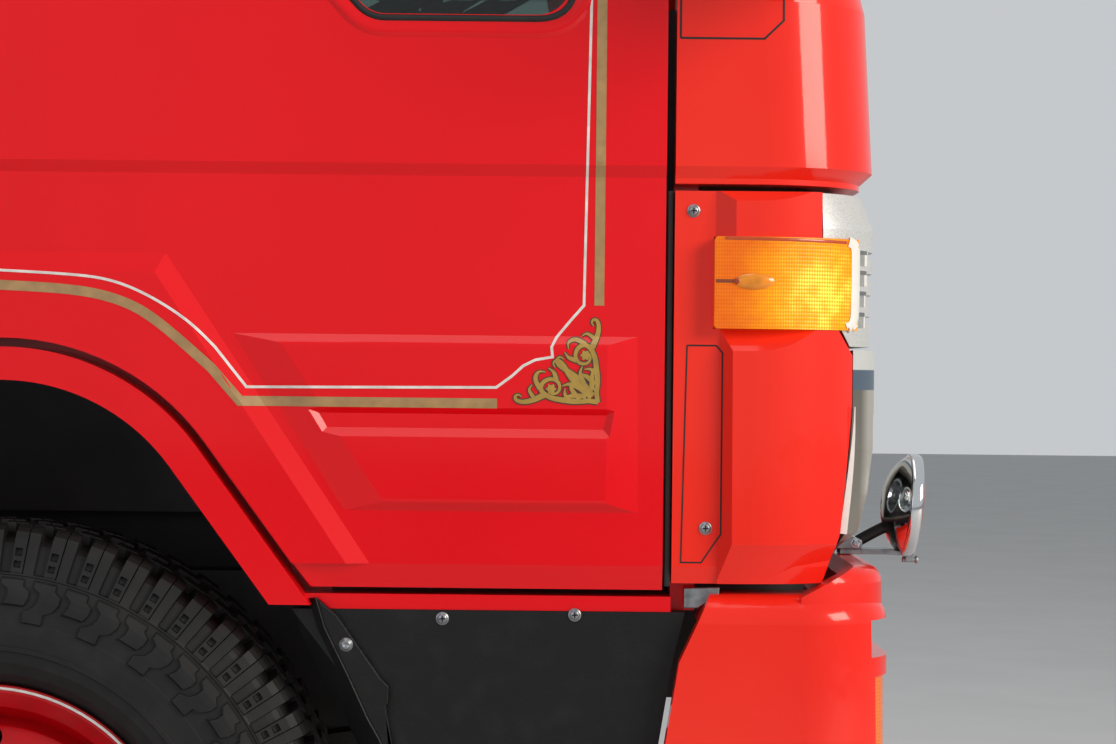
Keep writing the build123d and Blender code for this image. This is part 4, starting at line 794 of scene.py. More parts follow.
wheels = {
    # how far out the wheels' middles stand in metres, and the painted line on the rim's flange in mm
    "front": 0.770, "rear": {"outer": 0.780, "inner": 0.532}, "lineRadius": 217.5, "lineOut": 82.6,
}
rearAxle = frontAxle["x"] - frontAxle["wheelbase"]
allPlaces = list(range(13))
fewPlaces = [0, 1, 3, 4, 5, 10, 11]
for sideName, side in sides.items():
    carcass = tyreShape(frontAxle["x"], side * wheels["front"], side, allPlaces)
    piece = makePiece(f"frontTyre_{sideName}", carcass, "tyre", "front_wheel_" + sideName)
    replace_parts(piece, "front_tyre_" + sideName)
    for label, y in wheels["rear"].items():
        carcass = tyreShape(rearAxle, side * y, side if label == "outer" else -side, fewPlaces)
        piece = makePiece(f"rearTyre_{label}_{sideName}", carcass, "tyre", "rear_wheels_" + sideName)
        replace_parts(piece, "rear_tyres_" + sideName)
    # a fine white line round the rim's flange
    out, r = wheels["lineOut"], wheels["lineRadius"]
    profile = [(out, r - 1.6), (out + 0.8, r - 1.4), (out + 0.8, r + 1.4), (out, r + 1.6)]
    lines = {"front_wheel_": (frontAxle["x"], wheels["front"]),
             "rear_wheels_": (rearAxle, wheels["rear"]["outer"])}
    for body, (x, y) in lines.items():
        ring = turned(profile, (x, side * y, tyre["height"]), (0, side, 0), 96)
        makePiece(f"rimLine_{body}{sideName}", ring, "white", body + sideName, smooth=True)
print("tyres made")


# seals, seams, screws and lamp details of the cab's side
def screwShapes(ahead, height, target, side, radius=7.5):
    # a washer under a pan head, and the cross in it as two dark bars of painted shade
    out = float(surfaceOut(place(ahead, height)[None], target, side)[0])
    x, z = place(ahead, height)
    profile = np.array([(-1, 0), (-1, 1), (0.9, 1), (1.3, 0.93), (1.4, 0.78), (2.6, 0.74), (3.6, 0.5),
                        (4.0, 0)]) * (1, radius)
    head = turned(profile, (x, side * out, z), (0, side, 0), 20)
    bars = []
    for long, wide in ((0.46, 0.1), (0.1, 0.46)):
        corners = rectangle(-long, long, -wide, wide) * radius + (ahead, height)
        bars.append(slab(corners, side * (out * 1000 + 2.5), side * (out * 1000 + 4.1)))
    return head, bars


def dome(centre, radii, height, target, side, rings=6, steps=28):
    # a swelling over an ellipse: skin + height * sqrt(1 - rho squared)
    rho = np.linspace(0, 1, rings)[:, None]
    angle = np.arange(steps)[None] * 2 * np.pi / steps
    spots = place(centre[0] + rho * radii[0] * np.cos(angle), centre[1] + rho * radii[1] * np.sin(angle))
    out = surfaceOut(spots, target, side)
    # the skin under it is evened out: out = a + b x + c z + d x squared, fitted by least squares
    x, z = (spots[..., axis].ravel() - spots[..., axis].mean() for axis in (0, 1))
    terms = np.stack([np.ones(len(x)), x, z, x * x], 1)
    met = out.ravel() < feel["missed"]
    fit = terms @ np.linalg.lstsq(terms[met], out.ravel()[met], rcond=None)[0]
    out = fit.reshape(out.shape) + (0.9 + height * np.sqrt(1 - rho ** 2)) / 1000
    points = onSkin(spots, out, side)
    return points, outward(points, gridFaces(rings, steps, closedColumns=True), side)


cabSide = {
    "seamWidth": 1.7, "screws": [((692, 209), "corner_panels"), ((707, 527), "corner_panels")],
    "apronScrews": [(444, 621), (577, 616)],
    "hatch": [(686.7, 343.9), (716, 343.9), (722, 351), (722, 533), (703, 561.4), (682.5, 561.4)],
    "noseHatch": [(677, 36.5), (761, 36.5), (780, 18), (780, -22), (677, -22)],
    "oval": ((752.5, 279.7), (20, 8)), "ovalScrew": (735.5, 279.5), "rod": [(714, 279.5), (735, 279.5)],
    "lensEdges": [[(716, 236.5), (848, 238.5)], [(716, 325.3), (846, 325.8)]],
    "lensBand": [(850.5, 237.6), (855, 238.6), (858, 243), (858.6, 250), (858.6, 306), (857.6, 318),
                 (854, 323), (849, 324.6)],
    "slotDrops": [0, 20.4, 41.4, 63.0],
    "headlampStrip": [(859, 404), (858.5, 430), (855.5, 470), (848.5, 533)],
    # the folded bracket at the apron's edge: its flat face and the face that turns in to the arch
    "bracketFace": [(318, 601), (339, 618.7), (382.7, 680.3), (391.5, 689), (391, 706.7), (388.5, 708.5),
                    (390, 718.4), (398, 760), (398, 800), (404, 800), (383, 742), (371, 721), (350.4, 677.3),
                    (327, 630.4)],
    "ridge": [(318, 601), (327, 630.4), (350.4, 677.3), (371, 721.3), (383, 742), (404, 790)],
    "innerEdge": [(291, 604), (300, 636), (324, 684), (345, 722), (356, 742), (378, 790)],
    "bracketScrew": (348, 647.4),
    "clip": [(687, 588.5), (723, 587), (722, 595), (701, 608.4), (687, 608.4)],
    # how far from the middle these lie, from and to
    "sealOut": (868, 885), "bracketOut": (878.5, 887), "clipOut": (868, 872), "stripOut": (852.2, 855),
    "foldOut": (886, 852),
    "sealGap": (764.0, 770.5), "sealFoot": 745, "sealTop": 1188,
    "frontWindow": [(655, 1382), (652, 1460), (545.8, 1985), (-150, 1985), (-150, 1475), (345, 1475),
                    (430, 1382)],
    "rearWindow": [(-365, 1475), (-365, 1985), (-1000, 1985), (-1000, 1475)], "windowRound": 38,
    "handles": [("front_door_", -126, 1290), ("rear_door_", -905, 1290)],
}


def windowSeal(outline, target, side):
    # a crowned rubber on the door round the opening, and its lip that turns in to the glass
    loop = roundedLoop(outline, cabSide["windowRound"])
    area = np.cross(loop, np.roll(loop, -1, 0)).sum()
    outer = stripOffsets(loop, [-4.6 * np.sign(area)], closed=True)[:, 0]
    band = skinStrip(outer, 7.4, target, side, 0.3, columns=5, step=12, crown=2.4, closed=True)
    edge = stripOffsets(loop, [-1.2 * np.sign(area)], closed=True)[:, 0]
    spots = place(edge[:, 0], edge[:, 1])
    out = surfaceOut(spots, target, side)
    lip = np.stack([onSkin(spots, out + step, side) for step in (0.0012, -0.016)])
    return joined([band, (lip, gridFaces(2, len(spots), closedColumns=True))])


def windowFlange(outline, target, side):
    # the skin's pressed edge: it rises over 4 mm and falls towards the glass over 14 mm
    loop = roundedLoop(outline, cabSide["windowRound"])
    area = np.cross(loop, np.roll(loop, -1, 0)).sum()
    offsets = np.array([26, 23, 20, 14, 8.2]) * -np.sign(area)
    lines = stripOffsets(evenly(np.concatenate([loop, loop[:1]]), 12)[:-1], offsets, closed=True)
    spots = place(lines[..., 0], lines[..., 1])
    out = surfaceOut(spots, target, side) + np.array([0.1, 1.8, 3.2, 2.0, 0.4]) / 1000
    points = onSkin(spots, out, side)
    keep = out.max(1) < feel["missed"]
    faces = gridFaces(*points.shape[:2], closedRows=True)
    faces = faces[(keep & np.roll(keep, -1)).repeat(4)]
    return points, outward(points, faces, side)


for sideName, side in sides.items():
    seams = [skinStrip(photoMm(cabSide["hatch"]), cabSide["seamWidth"], "corner_panels", side, 0.35, 2, 4,
                       closed=True),
             skinStrip(photoMm(cabSide["noseHatch"]), cabSide["seamWidth"] + 0.6, "cab_nose", side, 0.35, 2,
                       4, closed=True)]
    makePiece("hatchSeams_" + sideName, joined(seams), "rubber", closed=False)
    # the screws' crosses are painted shade: dark bars where each recess is
    heads, crossShades = [], []
    for spot, target in cabSide["screws"] + [(spot, "aprons") for spot in cabSide["apronScrews"]]:
        head, bars = screwShapes(*photoMm(spot), target, side)
        heads.append(head)
        crossShades += bars
    makePiece("screws_" + sideName, joined(heads), "steel", smooth=True)
    makePiece("screwCrossShades_" + sideName, joined(crossShades), "rubber")
    # the lens: dark strips along its top and foot, a smooth oval swelling, its screw and the rod behind it
    strips = [skinStrip(photoMm(line), 3.6, "turn_lamps", side, 0.3, 3, 4, crown=1.2)
              for line in cabSide["lensEdges"]]
    makePiece("lensEdges_" + sideName, joined(strips), "amberEdge", smooth=True, closed=False)
    oval = dome(photoMm(cabSide["oval"][0]), np.array(cabSide["oval"][1]) * mmPerPixel, 3.2, "turn_lamps",
                side)
    makePiece("lensOval_" + sideName, oval, "smoothAmber", smooth=True, closed=False)
    # the lens screw's cross is painted shade too: two dark bars joined to the rod
    head, bars = screwShapes(*photoMm(cabSide["ovalScrew"]), "turn_lamps", side, 4.2)
    rod = skinStrip(photoMm(cabSide["rod"]), 4.0, "turn_lamps", side, 0.3, 3, 4)
    makePiece("lensScrew_" + sideName, head, "amberEdge", smooth=True)
    makePiece("lensRod_" + sideName, joined([rod] + bars), "amberShade", closed=False)
    around = ("turn_lamps", "grille")
    band = skinStrip(rounded(photoMm(cabSide["lensBand"]), 3), 11.5, around, side, 1.4, 5, 3, crown=1.2)
    makePiece("lensBand_" + sideName, band, "lampWhite", smooth=True, closed=False)
    # the louvre's slots: a strip of painted shade under each top edge, grey painted shade inside it, and its
    # white end
    louvre = {"slotShade": (863.8, 872.4, 247.3, 4.2, 0.5), "slotInsideShade": (863.2, 869.6, 254.8, 12.5, 0.4),
              "lampWhite": (869.4, 872.9, 255.0, 11.5, 0.6)}
    for finish, (start, stop, top, tall, lift) in louvre.items():
        patches = [skinStrip(photoMm([(start, top + drop), (stop, top + drop)]), tall * mmPerPixel, "grille",
                             side, lift, 3, 2) for drop in cabSide["slotDrops"]]
        makePiece(f"louvre_{finish}_{sideName}", joined(patches), finish, closed=False)
    edge = rounded(photoMm(cabSide["headlampStrip"]), 2)
    reach = np.interp(edge[:, 1], edge[::-1, 1], np.linspace(4, 0.5, len(edge)))[:, None]
    edges = stripOffsets(edge, reach * (-1, 1))
    strip = slab(np.concatenate([edges[:, 0], edges[::-1, 1]]), *(side * np.array(cabSide["stripOut"])))
    makePiece("headlampStrip_" + sideName, strip, "lampWhite")
    # rubber in the gap between the door and the corner panel, and round the windows
    low, high = cabSide["sealGap"]
    seal = slab(rectangle(low, high, cabSide["sealFoot"], cabSide["sealTop"]),
                *(side * np.array(cabSide["sealOut"])))
    softened(makePiece("doorSeal_" + sideName, seal, "rubber"), 1.5)
    for door, outline in (("front_door_", "frontWindow"), ("rear_door_", "rearWindow")):
        makePiece(f"windowSeal_{door}{sideName}", windowSeal(cabSide[outline], door + sideName, side),
                  "rubber", door + sideName, smooth=True, closed=False)
        makePiece(f"windowFlange_{door}{sideName}", windowFlange(cabSide[outline], door + sideName, side),
                  "red", door + sideName, smooth=True, closed=False)
    # folded bracket at the apron's edge
    ridge, inner = (photoMm(cabSide[key]) for key in ("ridge", "innerEdge"))
    folds = []
    for line, out in zip((ridge, inner), cabSide["foldOut"]):
        folds.append(onSkin(place(*line.T), out / 1000, side))
    fold = np.stack(folds, 1)
    bend = makePiece("archBracketFold_" + sideName, (fold, gridFaces(*fold.shape[:2])), "plastic",
                     closed=False)
    walled(bend, 0.004, 0)
    bracket = slab(photoMm(cabSide["bracketFace"]), *(side * np.array(cabSide["bracketOut"])))
    softened(makePiece("archBracket_" + sideName, bracket, "plastic"), 2.5)
    x, z = place(*photoMm(cabSide["bracketScrew"]))
    profile = [(0, 0), (0, 8), (1, 8), (1.2, 5.5), (4, 5), (4.6, 3), (3.6, 2.4), (3.6, 0)]
    bolt = turned(profile, (x, side * 0.8868, z), (0, side, 0), 20)
    makePiece("archBracketScrew_" + sideName, bolt, "steel", smooth=True)
    clip = slab(photoMm(cabSide["clip"]), *(side * np.array(cabSide["clipOut"])))
    softened(makePiece("bumperClip_" + sideName, clip, "steel"), 1)
    # door handles: a dished cup with a bow-shaped pull across it
    for door, ahead, height in cabSide["handles"]:
        target = door + sideName
        rho = np.array([1.0, 0.93, 0.86, 0.7, 0.4, 0.0])[:, None]
        depth = np.array([0.3, 2.6, 1.2, -0.5, -0.8, -0.9])[:, None] / 1000
        angle = np.arange(40)[None] * 2 * np.pi / 40
        power = lambda value: np.sign(value) * np.abs(value) ** 0.45
        spots = place(ahead + rho * 84 * power(np.cos(angle)), height + rho * 33 * power(np.sin(angle)))
        out = surfaceOut(spots, target, side) + np.maximum(depth, 0.0003)
        cup = onSkin(spots, out, side)
        faces = outward(cup, gridFaces(6, 40, closedColumns=True), side)
        makePiece("handleCup_" + target, (cup, faces), "plastic", target, smooth=True, closed=False)
        along = np.linspace(-1, 1, 15)
        skin = float(surfaceOut(place(ahead, height)[None], target, side)[0])
        reach = skin + 0.004 + 0.022 * (1 - along ** 4)
        bow = onSkin(place(ahead + along * 68, np.full(15, height)), reach, side)
        makePiece("handlePull_" + target, tube(bow, 7.5, 12), "chrome", target, smooth=True)
print("cab sides dressed")


# warning lamps on the bumper: chrome bowl and rim, red lens, strut and plate
warningLamp = {
    "ahead": 1037, "out": 640, "height": 830, "tilt": 5, "clampHalf": 8, "armHalf": 18,
    "plateOut": (658.5, 662.5),
    "bowl": [(0, 0), (0, 17), (1.5, 24), (5, 34), (9, 42), (14, 49), (20, 55), (25.5, 59.5), (27, 60.2)],
    "rim": [(26, 58), (26, 61.5), (28, 62.4), (31, 62.7), (36, 62.7), (39, 62), (41, 60.2), (41.4, 58),
            (40, 56.8), (38.5, 57), (37, 58)],
    "lens": [(37, 58), (40.2, 56.4), (42, 52), (43.2, 47), (44, 40), (44.8, 39), (45.6, 30), (46.2, 18),
             (46.4, 8), (46.5, 0)],
    "arm": [(984, 768.5), (1040, 768.5), (1062, 767), (1063, 771), (1044, 775), (984, 775)],
    "strut": [(992, 774), (1012, 786), (1032, 797), (1047, 804)],
    "plate": [(859, 547), (860, 559), (888, 559), (887, 550), (872, 542)], "bolt": (880.3, 552.5),
}
tilt = np.radians(warningLamp["tilt"])
lampAxis = np.array([np.cos(tilt), 0, -np.sin(tilt)])
for sideName, side in sides.items():
    back = np.array(metres(warningLamp["ahead"], side * warningLamp["out"], warningLamp["height"]))
    shells = {part: turned(warningLamp[part], back, lampAxis, 64) for part in ("bowl", "rim", "lens")}
    bowl = makePiece("warningBowl_" + sideName, shells["bowl"], "chrome", smooth=True)
    rim = makePiece("warningRim_" + sideName, shells["rim"], "chrome", smooth=True)
    lens = makePiece("warningLens_" + sideName, shells["lens"], "redLens", smooth=True)
    foot = back + lampAxis * 0.0325
    middle, spread = side * warningLamp["out"], side * np.array([-1, 1])
    profile = [(-8, 0), (-8, 3.4), (8, 3.4), (8, 5), (11, 5), (11, 0)]
    lug = turned(profile, foot - (0, 0, 0.0655), (1, 0, 0), 12)
    clamp = slab(rectangle(-5, 5, -58, -70) + ((foot[0] - frontAxle["x"]) * 1000, warningLamp["height"]),
                 *(middle + spread * warningLamp["clampHalf"]))
    arm = slab(warningLamp["arm"], *(middle + spread * warningLamp["armHalf"]))
    armPiece = softened(makePiece("warningArm_" + sideName, joined([arm, clamp, lug]), "steel"), 1)
    plate = slab(photoMm(warningLamp["plate"]), *(side * np.array(warningLamp["plateOut"])))
    platePiece = softened(makePiece("warningPlate_" + sideName, plate, "steel"), 0.8)
    x, z = place(*photoMm(warningLamp["bolt"]))
    bolt = turned([(-2, 0), (-2, 6.5), (1, 6.5), (1, 5), (5, 5), (6, 3.5), (6, 0)], (x, side * 0.6625, z),
                  (0, side, 0), 6)
    boltPiece = makePiece("warningBolt_" + sideName, bolt, "chrome")
    line = place(*np.array(warningLamp["strut"], float).T)
    strut = onSkin(line, warningLamp["out"] / 1000, side)
    strutPiece = makePiece("warningStrut_" + sideName, tube(rounded(strut), 7, 12), "black", smooth=True)
    for piece in (bowl, rim, lens, armPiece, platePiece, boltPiece, strutPiece):
        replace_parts(piece, "warning_lamps")
print("warning lamps made")


# wheels: nuts, studs and hub caps
hubs = {
    # ring of nuts, distance out of the nut faces from the wheel's middle, cap's out distance and radius
    "front_wheel_": {"x": frontAxle["x"], "y": wheels["front"], "ring": 105, "nutsOut": 58, "capOut": 99,
                     "cap": 40},
    "rear_wheels_": {"x": rearAxle, "y": sum(wheels["rear"].values()) / 2, "ring": 104, "nutsOut": 9,
                     "capOut": 91, "cap": 44},
}
for sideName, side in sides.items():
    for body, hub in hubs.items():
        nutShapes, studShapes = [], []
        for turn in np.arange(10) * np.pi / 5:
            centre = (hub["x"] + hub["ring"] / 1000 * np.cos(turn), side * (hub["y"] + hub["nutsOut"] / 1000),
                      tyre["height"] + hub["ring"] / 1000 * np.sin(turn))
            profile = [(-1, 0), (-1, 17), (3, 17), (3.2, 15.5), (20, 15.5), (22, 13.5), (22, 0)]
            nutShapes.append(turned(profile, centre, (0, side, 0), 6))
            profile = [(20, 0), (20, 8.5), (30, 8.5), (31.5, 7), (31.5, 0)]
            studShapes.append(turned(profile, centre, (0, side, 0), 12))
        wheelBody = body + sideName
        softened(makePiece("nuts_" + wheelBody, joined(nutShapes), "steel", wheelBody), 1)
        makePiece("studs_" + wheelBody, joined(studShapes), "steel", wheelBody, smooth=True)
        r = hub["cap"]
        cap = turned([(-2, 0), (-2, r), (2, r + 1), (4, r), (8, r * 0.9), (10, r * 0.55), (11, r * 0.5),
                      (11, 0)], (hub["x"], side * (hub["y"] + hub["capOut"] / 1000), tyre["height"]),
                     (0, side, 0), 48)
        makePiece("hubCap_" + wheelBody, cap, "chrome" if body == "front_wheel_" else "wheel", wheelBody,
                  smooth=True)
print("wheels dressed")


# light bar: two fluted lenses, a louvred middle, bright bands and a tray on two feet
lightBar = {
    "ahead": 475, "half": 123, "middle": 2245, "rise": 50, "reach": 648, "speaker": 170, "flute": 12,
    "square": 0.5,
    "tray": (2188, 2202), "trayReach": 644, "trayRound": 40, "feet": (400, 550), "footAt": 480,
    "footHalf": 48,
    "footRise": (2160.5, 2190),
}


def barHull(start, stop, step, flute, depth, grow=0.0):
    # point = middle + scale(y) * superellipse(angle); the scale dips by depth in each flute and falls in a
    # quarter ellipse at the outer ends
    y = np.arange(start, stop + step / 2, step)
    angle = np.arange(40) * 2 * np.pi / 40
    bend = lambda value: np.sign(value) * np.abs(value) ** lightBar["square"]
    scale = 1 + grow - depth * (0.5 + 0.5 * np.cos(2 * np.pi * (y - start) / flute))
    past = np.clip((np.abs(y) - lightBar["reach"] + 45) / 45.5, 0, 1)
    scale = np.concatenate([[0], scale * np.sqrt(1 - past ** 2), [0]])
    y = np.concatenate([y[:1], y, y[-1:]])
    ahead = lightBar["ahead"] + np.outer(scale, bend(np.cos(angle))) * lightBar["half"]
    height = lightBar["middle"] + np.outer(scale, bend(np.sin(angle))) * lightBar["rise"]
    spots = place(ahead, height)
    points = np.stack([spots[..., 0], np.broadcast_to(y[:, None] / 1000, ahead.shape), spots[..., 1]], -1)
    return points, gridFaces(*points.shape[:2], closedColumns=True)


barPieces = []
speaker = lightBar["speaker"]
for sideName, side in sides.items():
    hull = barHull(speaker + 8, lightBar["reach"], 3, lightBar["flute"], 0.012)
    hull = (hull[0] * (1, side, 1), hull[1])
    barPieces.append(makePiece("barLens_" + sideName, hull, "redLens", smooth=True))
    band = barHull(speaker - 2, speaker + 12, 14, 1000, 0, 0.02)
    barPieces.append(makePiece("barBand_" + sideName, (band[0] * (1, side, 1), band[1]), "chrome"))
barPieces.append(makePiece("barSpeaker", barHull(-speaker, speaker, 2.5, 10, 0.035), "plastic"))
at, half, reach = lightBar["ahead"], lightBar["half"], lightBar["trayReach"]
trayCorners = roundedLoop(rectangle(at - half, at + half, -reach, reach), lightBar["trayRound"])
tray = slab(trayCorners, *lightBar["tray"], plane="top")
barPieces.append(softened(makePiece("barTray", tray, "plastic"), 2))
low, high = lightBar["feet"]
at, half = lightBar["footAt"], lightBar["footHalf"]
feet = [rectangle(low, high, side * at - half, side * at + half) for side in (-1, 1)]
feet = [slab(corners, *lightBar["footRise"], plane="top") for corners in feet]
barPieces.append(softened(makePiece("barFeet", joined(feet), "steel"), 4))
for piece in barPieces:
    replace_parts(piece, "light_bar")
print("light bar made")


# roller shutters: a curtain of crowned slats, guides, a hood and a lift bar with its pull
shutter = {
    "spans": [(-2998, -1942), (-4108, -3062)], "low": 1062, "high": 1558, "pitch": 26, "face": 867.8,
    "bar": 36, "hood": 34, "guide": 20,
    # how far out the frame starts and its parts end; the pull: half length, up, out and bow
    "frame": 866, "ends": {"guide": 886, "hood": 883, "bar": 882}, "pull": (190, 19, 880, 22),
    # places up one slat as parts of its pitch, and how far it stands out there in mm
    "slat": [(0.0, 0.2), (0.06, 3.4), (0.22, 5.4), (0.5, 6.4), (0.78, 5.4), (0.94, 3.4)],
}
for sideName, side in sides.items():
    low = shutter["low"] + shutter["bar"]
    count = int((shutter["high"] - shutter["hood"] - low) / shutter["pitch"]) + 1
    profile = np.array(shutter["slat"])
    height = low + (np.arange(count)[:, None] + profile[:, 0]).ravel() * shutter["pitch"]
    out = shutter["face"] + np.tile(profile[:, 1], count)
    inside = height < shutter["high"]
    curtains, trims, pulls = [], [], []
    for rear, front in shutter["spans"]:
        spots = place(np.array([[rear, front]]).repeat(inside.sum(), 0), height[inside][:, None].repeat(2, 1))
        points = onSkin(spots, out[inside][:, None].repeat(2, 1) / 1000, side)
        curtains.append((points, outward(points, gridFaces(*points.shape[:2]), side)))
        bottom, top, width = shutter["low"], shutter["high"], shutter["guide"]
        frames = [
            ("guide", rear, rear + width, bottom, top), ("guide", front - width, front, bottom, top),
            ("hood", rear + width + 1, front - width - 1, top - shutter["hood"], top),
            ("bar", rear + width + 1, front - width - 1, bottom, low - 1),
        ]
        for part, *corners in frames:
            trims.append(slab(rectangle(*corners), side * shutter["frame"], side * shutter["ends"][part]))
        middle = (rear + front) / 2
        along = np.linspace(-1, 1, 19)
        half, up, reach, bulge = shutter["pull"]
        line = place(middle + along * half, np.full(19, bottom + up))
        bow = onSkin(line, (reach + bulge * (1 - along ** 6)) / 1000, side)
        pulls.append(tube(bow, 6.5, 12))
    curtain = makePiece("shutterCurtain_" + sideName, joined(curtains), "aluminium", smooth=True,
                        closed=False)
    walled(curtain, 0.0012)
    trim = softened(makePiece("shutterTrim_" + sideName, joined(trims), "aluminium"), 2)
    pull = makePiece("shutterPull_" + sideName, joined(pulls), "chrome", smooth=True)
    for piece in (curtain, trim, pull):
        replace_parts(piece, "shutters")
print("shutters made")


# pump bay: dials, blank cap, outlet collars, levers and screws
pumpBay = {
    "gauges": [(-1430, 1440), (-1580, 1440), (-1730, 1440)], "gaugeFace": 830, "needles": [215, 190, 240],
    "inlet": (-1580, 1090), "inletFace": 874, "outlets": [(-1470, 860), (-1690, 860)], "outletFace": 868.3,
    "levers": [(-1400, 985), (-1760, 985)], "panel": 800, "armOut": (817, 823),
    "screws": [(-1840, 1530), (-1580, 1530), (-1320, 1530), (-1840, 1260), (-1320, 1260), (-1840, 760),
               (-1580, 760), (-1320, 760)],
}


def bars(centre, angles, near, far, half, side, outNear, outFar):
    # thin bars pointing out from a centre in the side view
    shapes = []
    for angle in np.radians(angles):
        along, across = np.array([np.cos(angle), np.sin(angle)]), np.array([-np.sin(angle), np.cos(angle)])
        corners = [near * along - half * across, far * along - half * across, far * along + half * across,
                   near * along + half * across]
        shapes.append(slab(np.array(corners) + centre, side * outNear, side * outFar))
    return shapes


for sideName, side in sides.items():
    spot = lambda ahead, height, out: metres(ahead, side * out, height)
    out = (0, side, 0)
    face = pumpBay["gaugeFace"]
    bezels, dials, marks, needles = [], [], [], []
    for centre, aim in zip(pumpBay["gauges"], pumpBay["needles"]):
        bezels.append(turned([(-3, 45), (-3, 51), (4, 52), (8, 50), (9, 47), (4, 44), (-3, 45)],
                             spot(*centre, face), out, 40))
        dials.append(turned([(-1, 0), (-1, 45), (1, 45), (1, 0)], spot(*centre, face), out, 40))
        marks += bars(centre, np.arange(-45, 226, 27), 34, 42, 1.0, side, face + 0.5, face + 1.6)
        needles += bars(centre, [aim, aim + 180], -2, 33, 1.3, side, face + 1.8, face + 3)[:1]
        needles.append(turned([(0, 0), (0, 5), (4, 4), (4, 0)], spot(*centre, face), out, 16))
    makePiece("gaugeBezels_" + sideName, joined(bezels), "chrome", smooth=True)
    makePiece("gaugeDials_" + sideName, joined(dials), "dialWhite")
    makePiece("gaugeMarks_" + sideName, joined(marks), "rubber")
    makePiece("gaugeNeedles_" + sideName, joined(needles), "wheel")
    # blank cap with two lugs, and its chain
    cap = turned([(-1, 0), (-1, 66), (5, 66), (9, 60), (9, 34), (13, 30), (13, 0)],
                 spot(*pumpBay["inlet"], pumpBay["inletFace"]), out, 48)
    lugs = bars(pumpBay["inlet"], [0, 180], 58, 84, 11, side, pumpBay["inletFace"] - 8,
                pumpBay["inletFace"] + 9)
    makePiece("inletCap_" + sideName, cap, "aluminium", smooth=True)
    softened(makePiece("inletLugs_" + sideName, joined(lugs), "aluminium"), 3)
    collars, seals = [], []
    for centre in pumpBay["outlets"]:
        where = spot(*centre, pumpBay["outletFace"])
        profile = [(-20, 43.5), (-20, 50), (-6, 51), (1, 48), (1, 43), (-20, 43.5)]
        collars.append(turned(profile, where, out, 40))
        collars += bars(centre, [90, 210, 330], 46, 58, 7, side, pumpBay["outletFace"] - 16,
                        pumpBay["outletFace"] - 4)
        seals.append(turned([(-1, 33), (0.8, 34), (0.8, 42), (-1, 42.5), (-1, 33)], where, out, 40))
    makePiece("outletCollars_" + sideName, joined(collars), "aluminium")
    makePiece("outletSeals_" + sideName, joined(seals), "rubber")
    bosses, arms, knobs = [], [], []
    angle = np.linspace(0, np.pi, 9)
    for centre in pumpBay["levers"]:
        bosses.append(turned([(-1, 0), (-1, 20), (6, 20), (8, 15), (22, 15), (25, 11), (25, 0)],
                             spot(*centre, pumpBay["panel"]), out, 28))
        arms += bars(centre, [100], -14, 78, 6.5, side, *pumpBay["armOut"])
        end = spot(centre[0] - 15, centre[1] + 84, 820)
        knobs.append(turned(np.stack([-15 * np.cos(angle), 15 * np.sin(angle)], -1), end, out, 20))
    makePiece("valveBosses_" + sideName, joined(bosses), "steel", smooth=True)
    softened(makePiece("valveArms_" + sideName, joined(arms), "steel"), 1.5)
    makePiece("valveKnobs_" + sideName, joined(knobs), "wheel", smooth=True)
    # the screws' crosses are dark bars of painted shade
    heads, crossShades = [], []
    for ahead, height in pumpBay["screws"]:
        head, cross = screwShapes(ahead, height, "pump_panels", side, 6)
        heads.append(head)
        crossShades += cross
    makePiece("bayScrews_" + sideName, joined(heads), "steel", smooth=True)
    makePiece("bayScrewCrossShades_" + sideName, joined(crossShades), "rubber")
print("pump bays dressed")


# suction hoses: a skin with a helical rib, couplings at both ends and two straps
hose = {
    "rear": -4060, "front": -1560, "out": 620, "height": 2038.3, "radius": 47.3, "rib": 2.4, "pitch": 26,
    "strapsAt": (-1800, -3700), "buckleHalf": (26, 16), "buckleRise": (2089, 2094),
    "coupling": [(-15, 0), (-15, 50), (-12, 58), (-6, 61.5), (22, 61.5), (26, 56), (52, 56), (56, 60),
                 (70, 60), (75, 52), (75, 0)],
}
for sideName, side in sides.items():
    along = np.arange(hose["rear"] + 20, hose["front"] - 20, hose["pitch"] / 6)
    angle = np.arange(24) * 2 * np.pi / 24
    # radius = plain radius + rib * cos(turns along the pitch - angle)
    radius = hose["radius"] + hose["rib"] * np.cos(2 * np.pi * along[:, None] / hose["pitch"] - angle)
    radius = np.concatenate([np.zeros((1, 24)), radius, np.zeros((1, 24))]) / 1000
    along = np.concatenate([along[:1], along, along[-1:]])
    line = place(along, np.full(len(along), hose["height"]))
    points = np.stack([np.broadcast_to(line[:, :1], radius.shape),
                       side * hose["out"] / 1000 + radius * np.cos(angle),
                       line[:, 1:] + radius * np.sin(angle)], -1)
    skin = makePiece("hoseSkin_" + sideName, (points, gridFaces(*points.shape[:2], closedColumns=True)),
                     "rubber", smooth=True)
    where = lambda ahead: metres(ahead, side * hose["out"], hose["height"])
    couplings = [turned(hose["coupling"], where(hose["rear"]), (1, 0, 0), 40),
                 turned(hose["coupling"], where(hose["front"]), (-1, 0, 0), 40)]
    ends = softened(makePiece("hoseCouplings_" + sideName, joined(couplings), "aluminium"), 1)
    straps, buckles = [], []
    for ahead in hose["strapsAt"]:
        profile = [(-20, 50.2), (-20, 52), (20, 52), (20, 50.2), (-20, 50.2)]
        straps.append(turned(profile, where(ahead), (1, 0, 0), 40))
        corners = rectangle(-1, 1, -1, 1) * hose["buckleHalf"] + (ahead, side * hose["out"])
        buckles.append(slab(corners, *hose["buckleRise"], plane="top"))
    makePiece("hoseStraps_" + sideName, joined(straps), "web")
    softened(makePiece("hoseBuckles_" + sideName, joined(buckles), "steel"), 1.5)
    for piece in (skin, ends):
        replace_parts(piece, "suction_hoses")
print("suction hoses made")


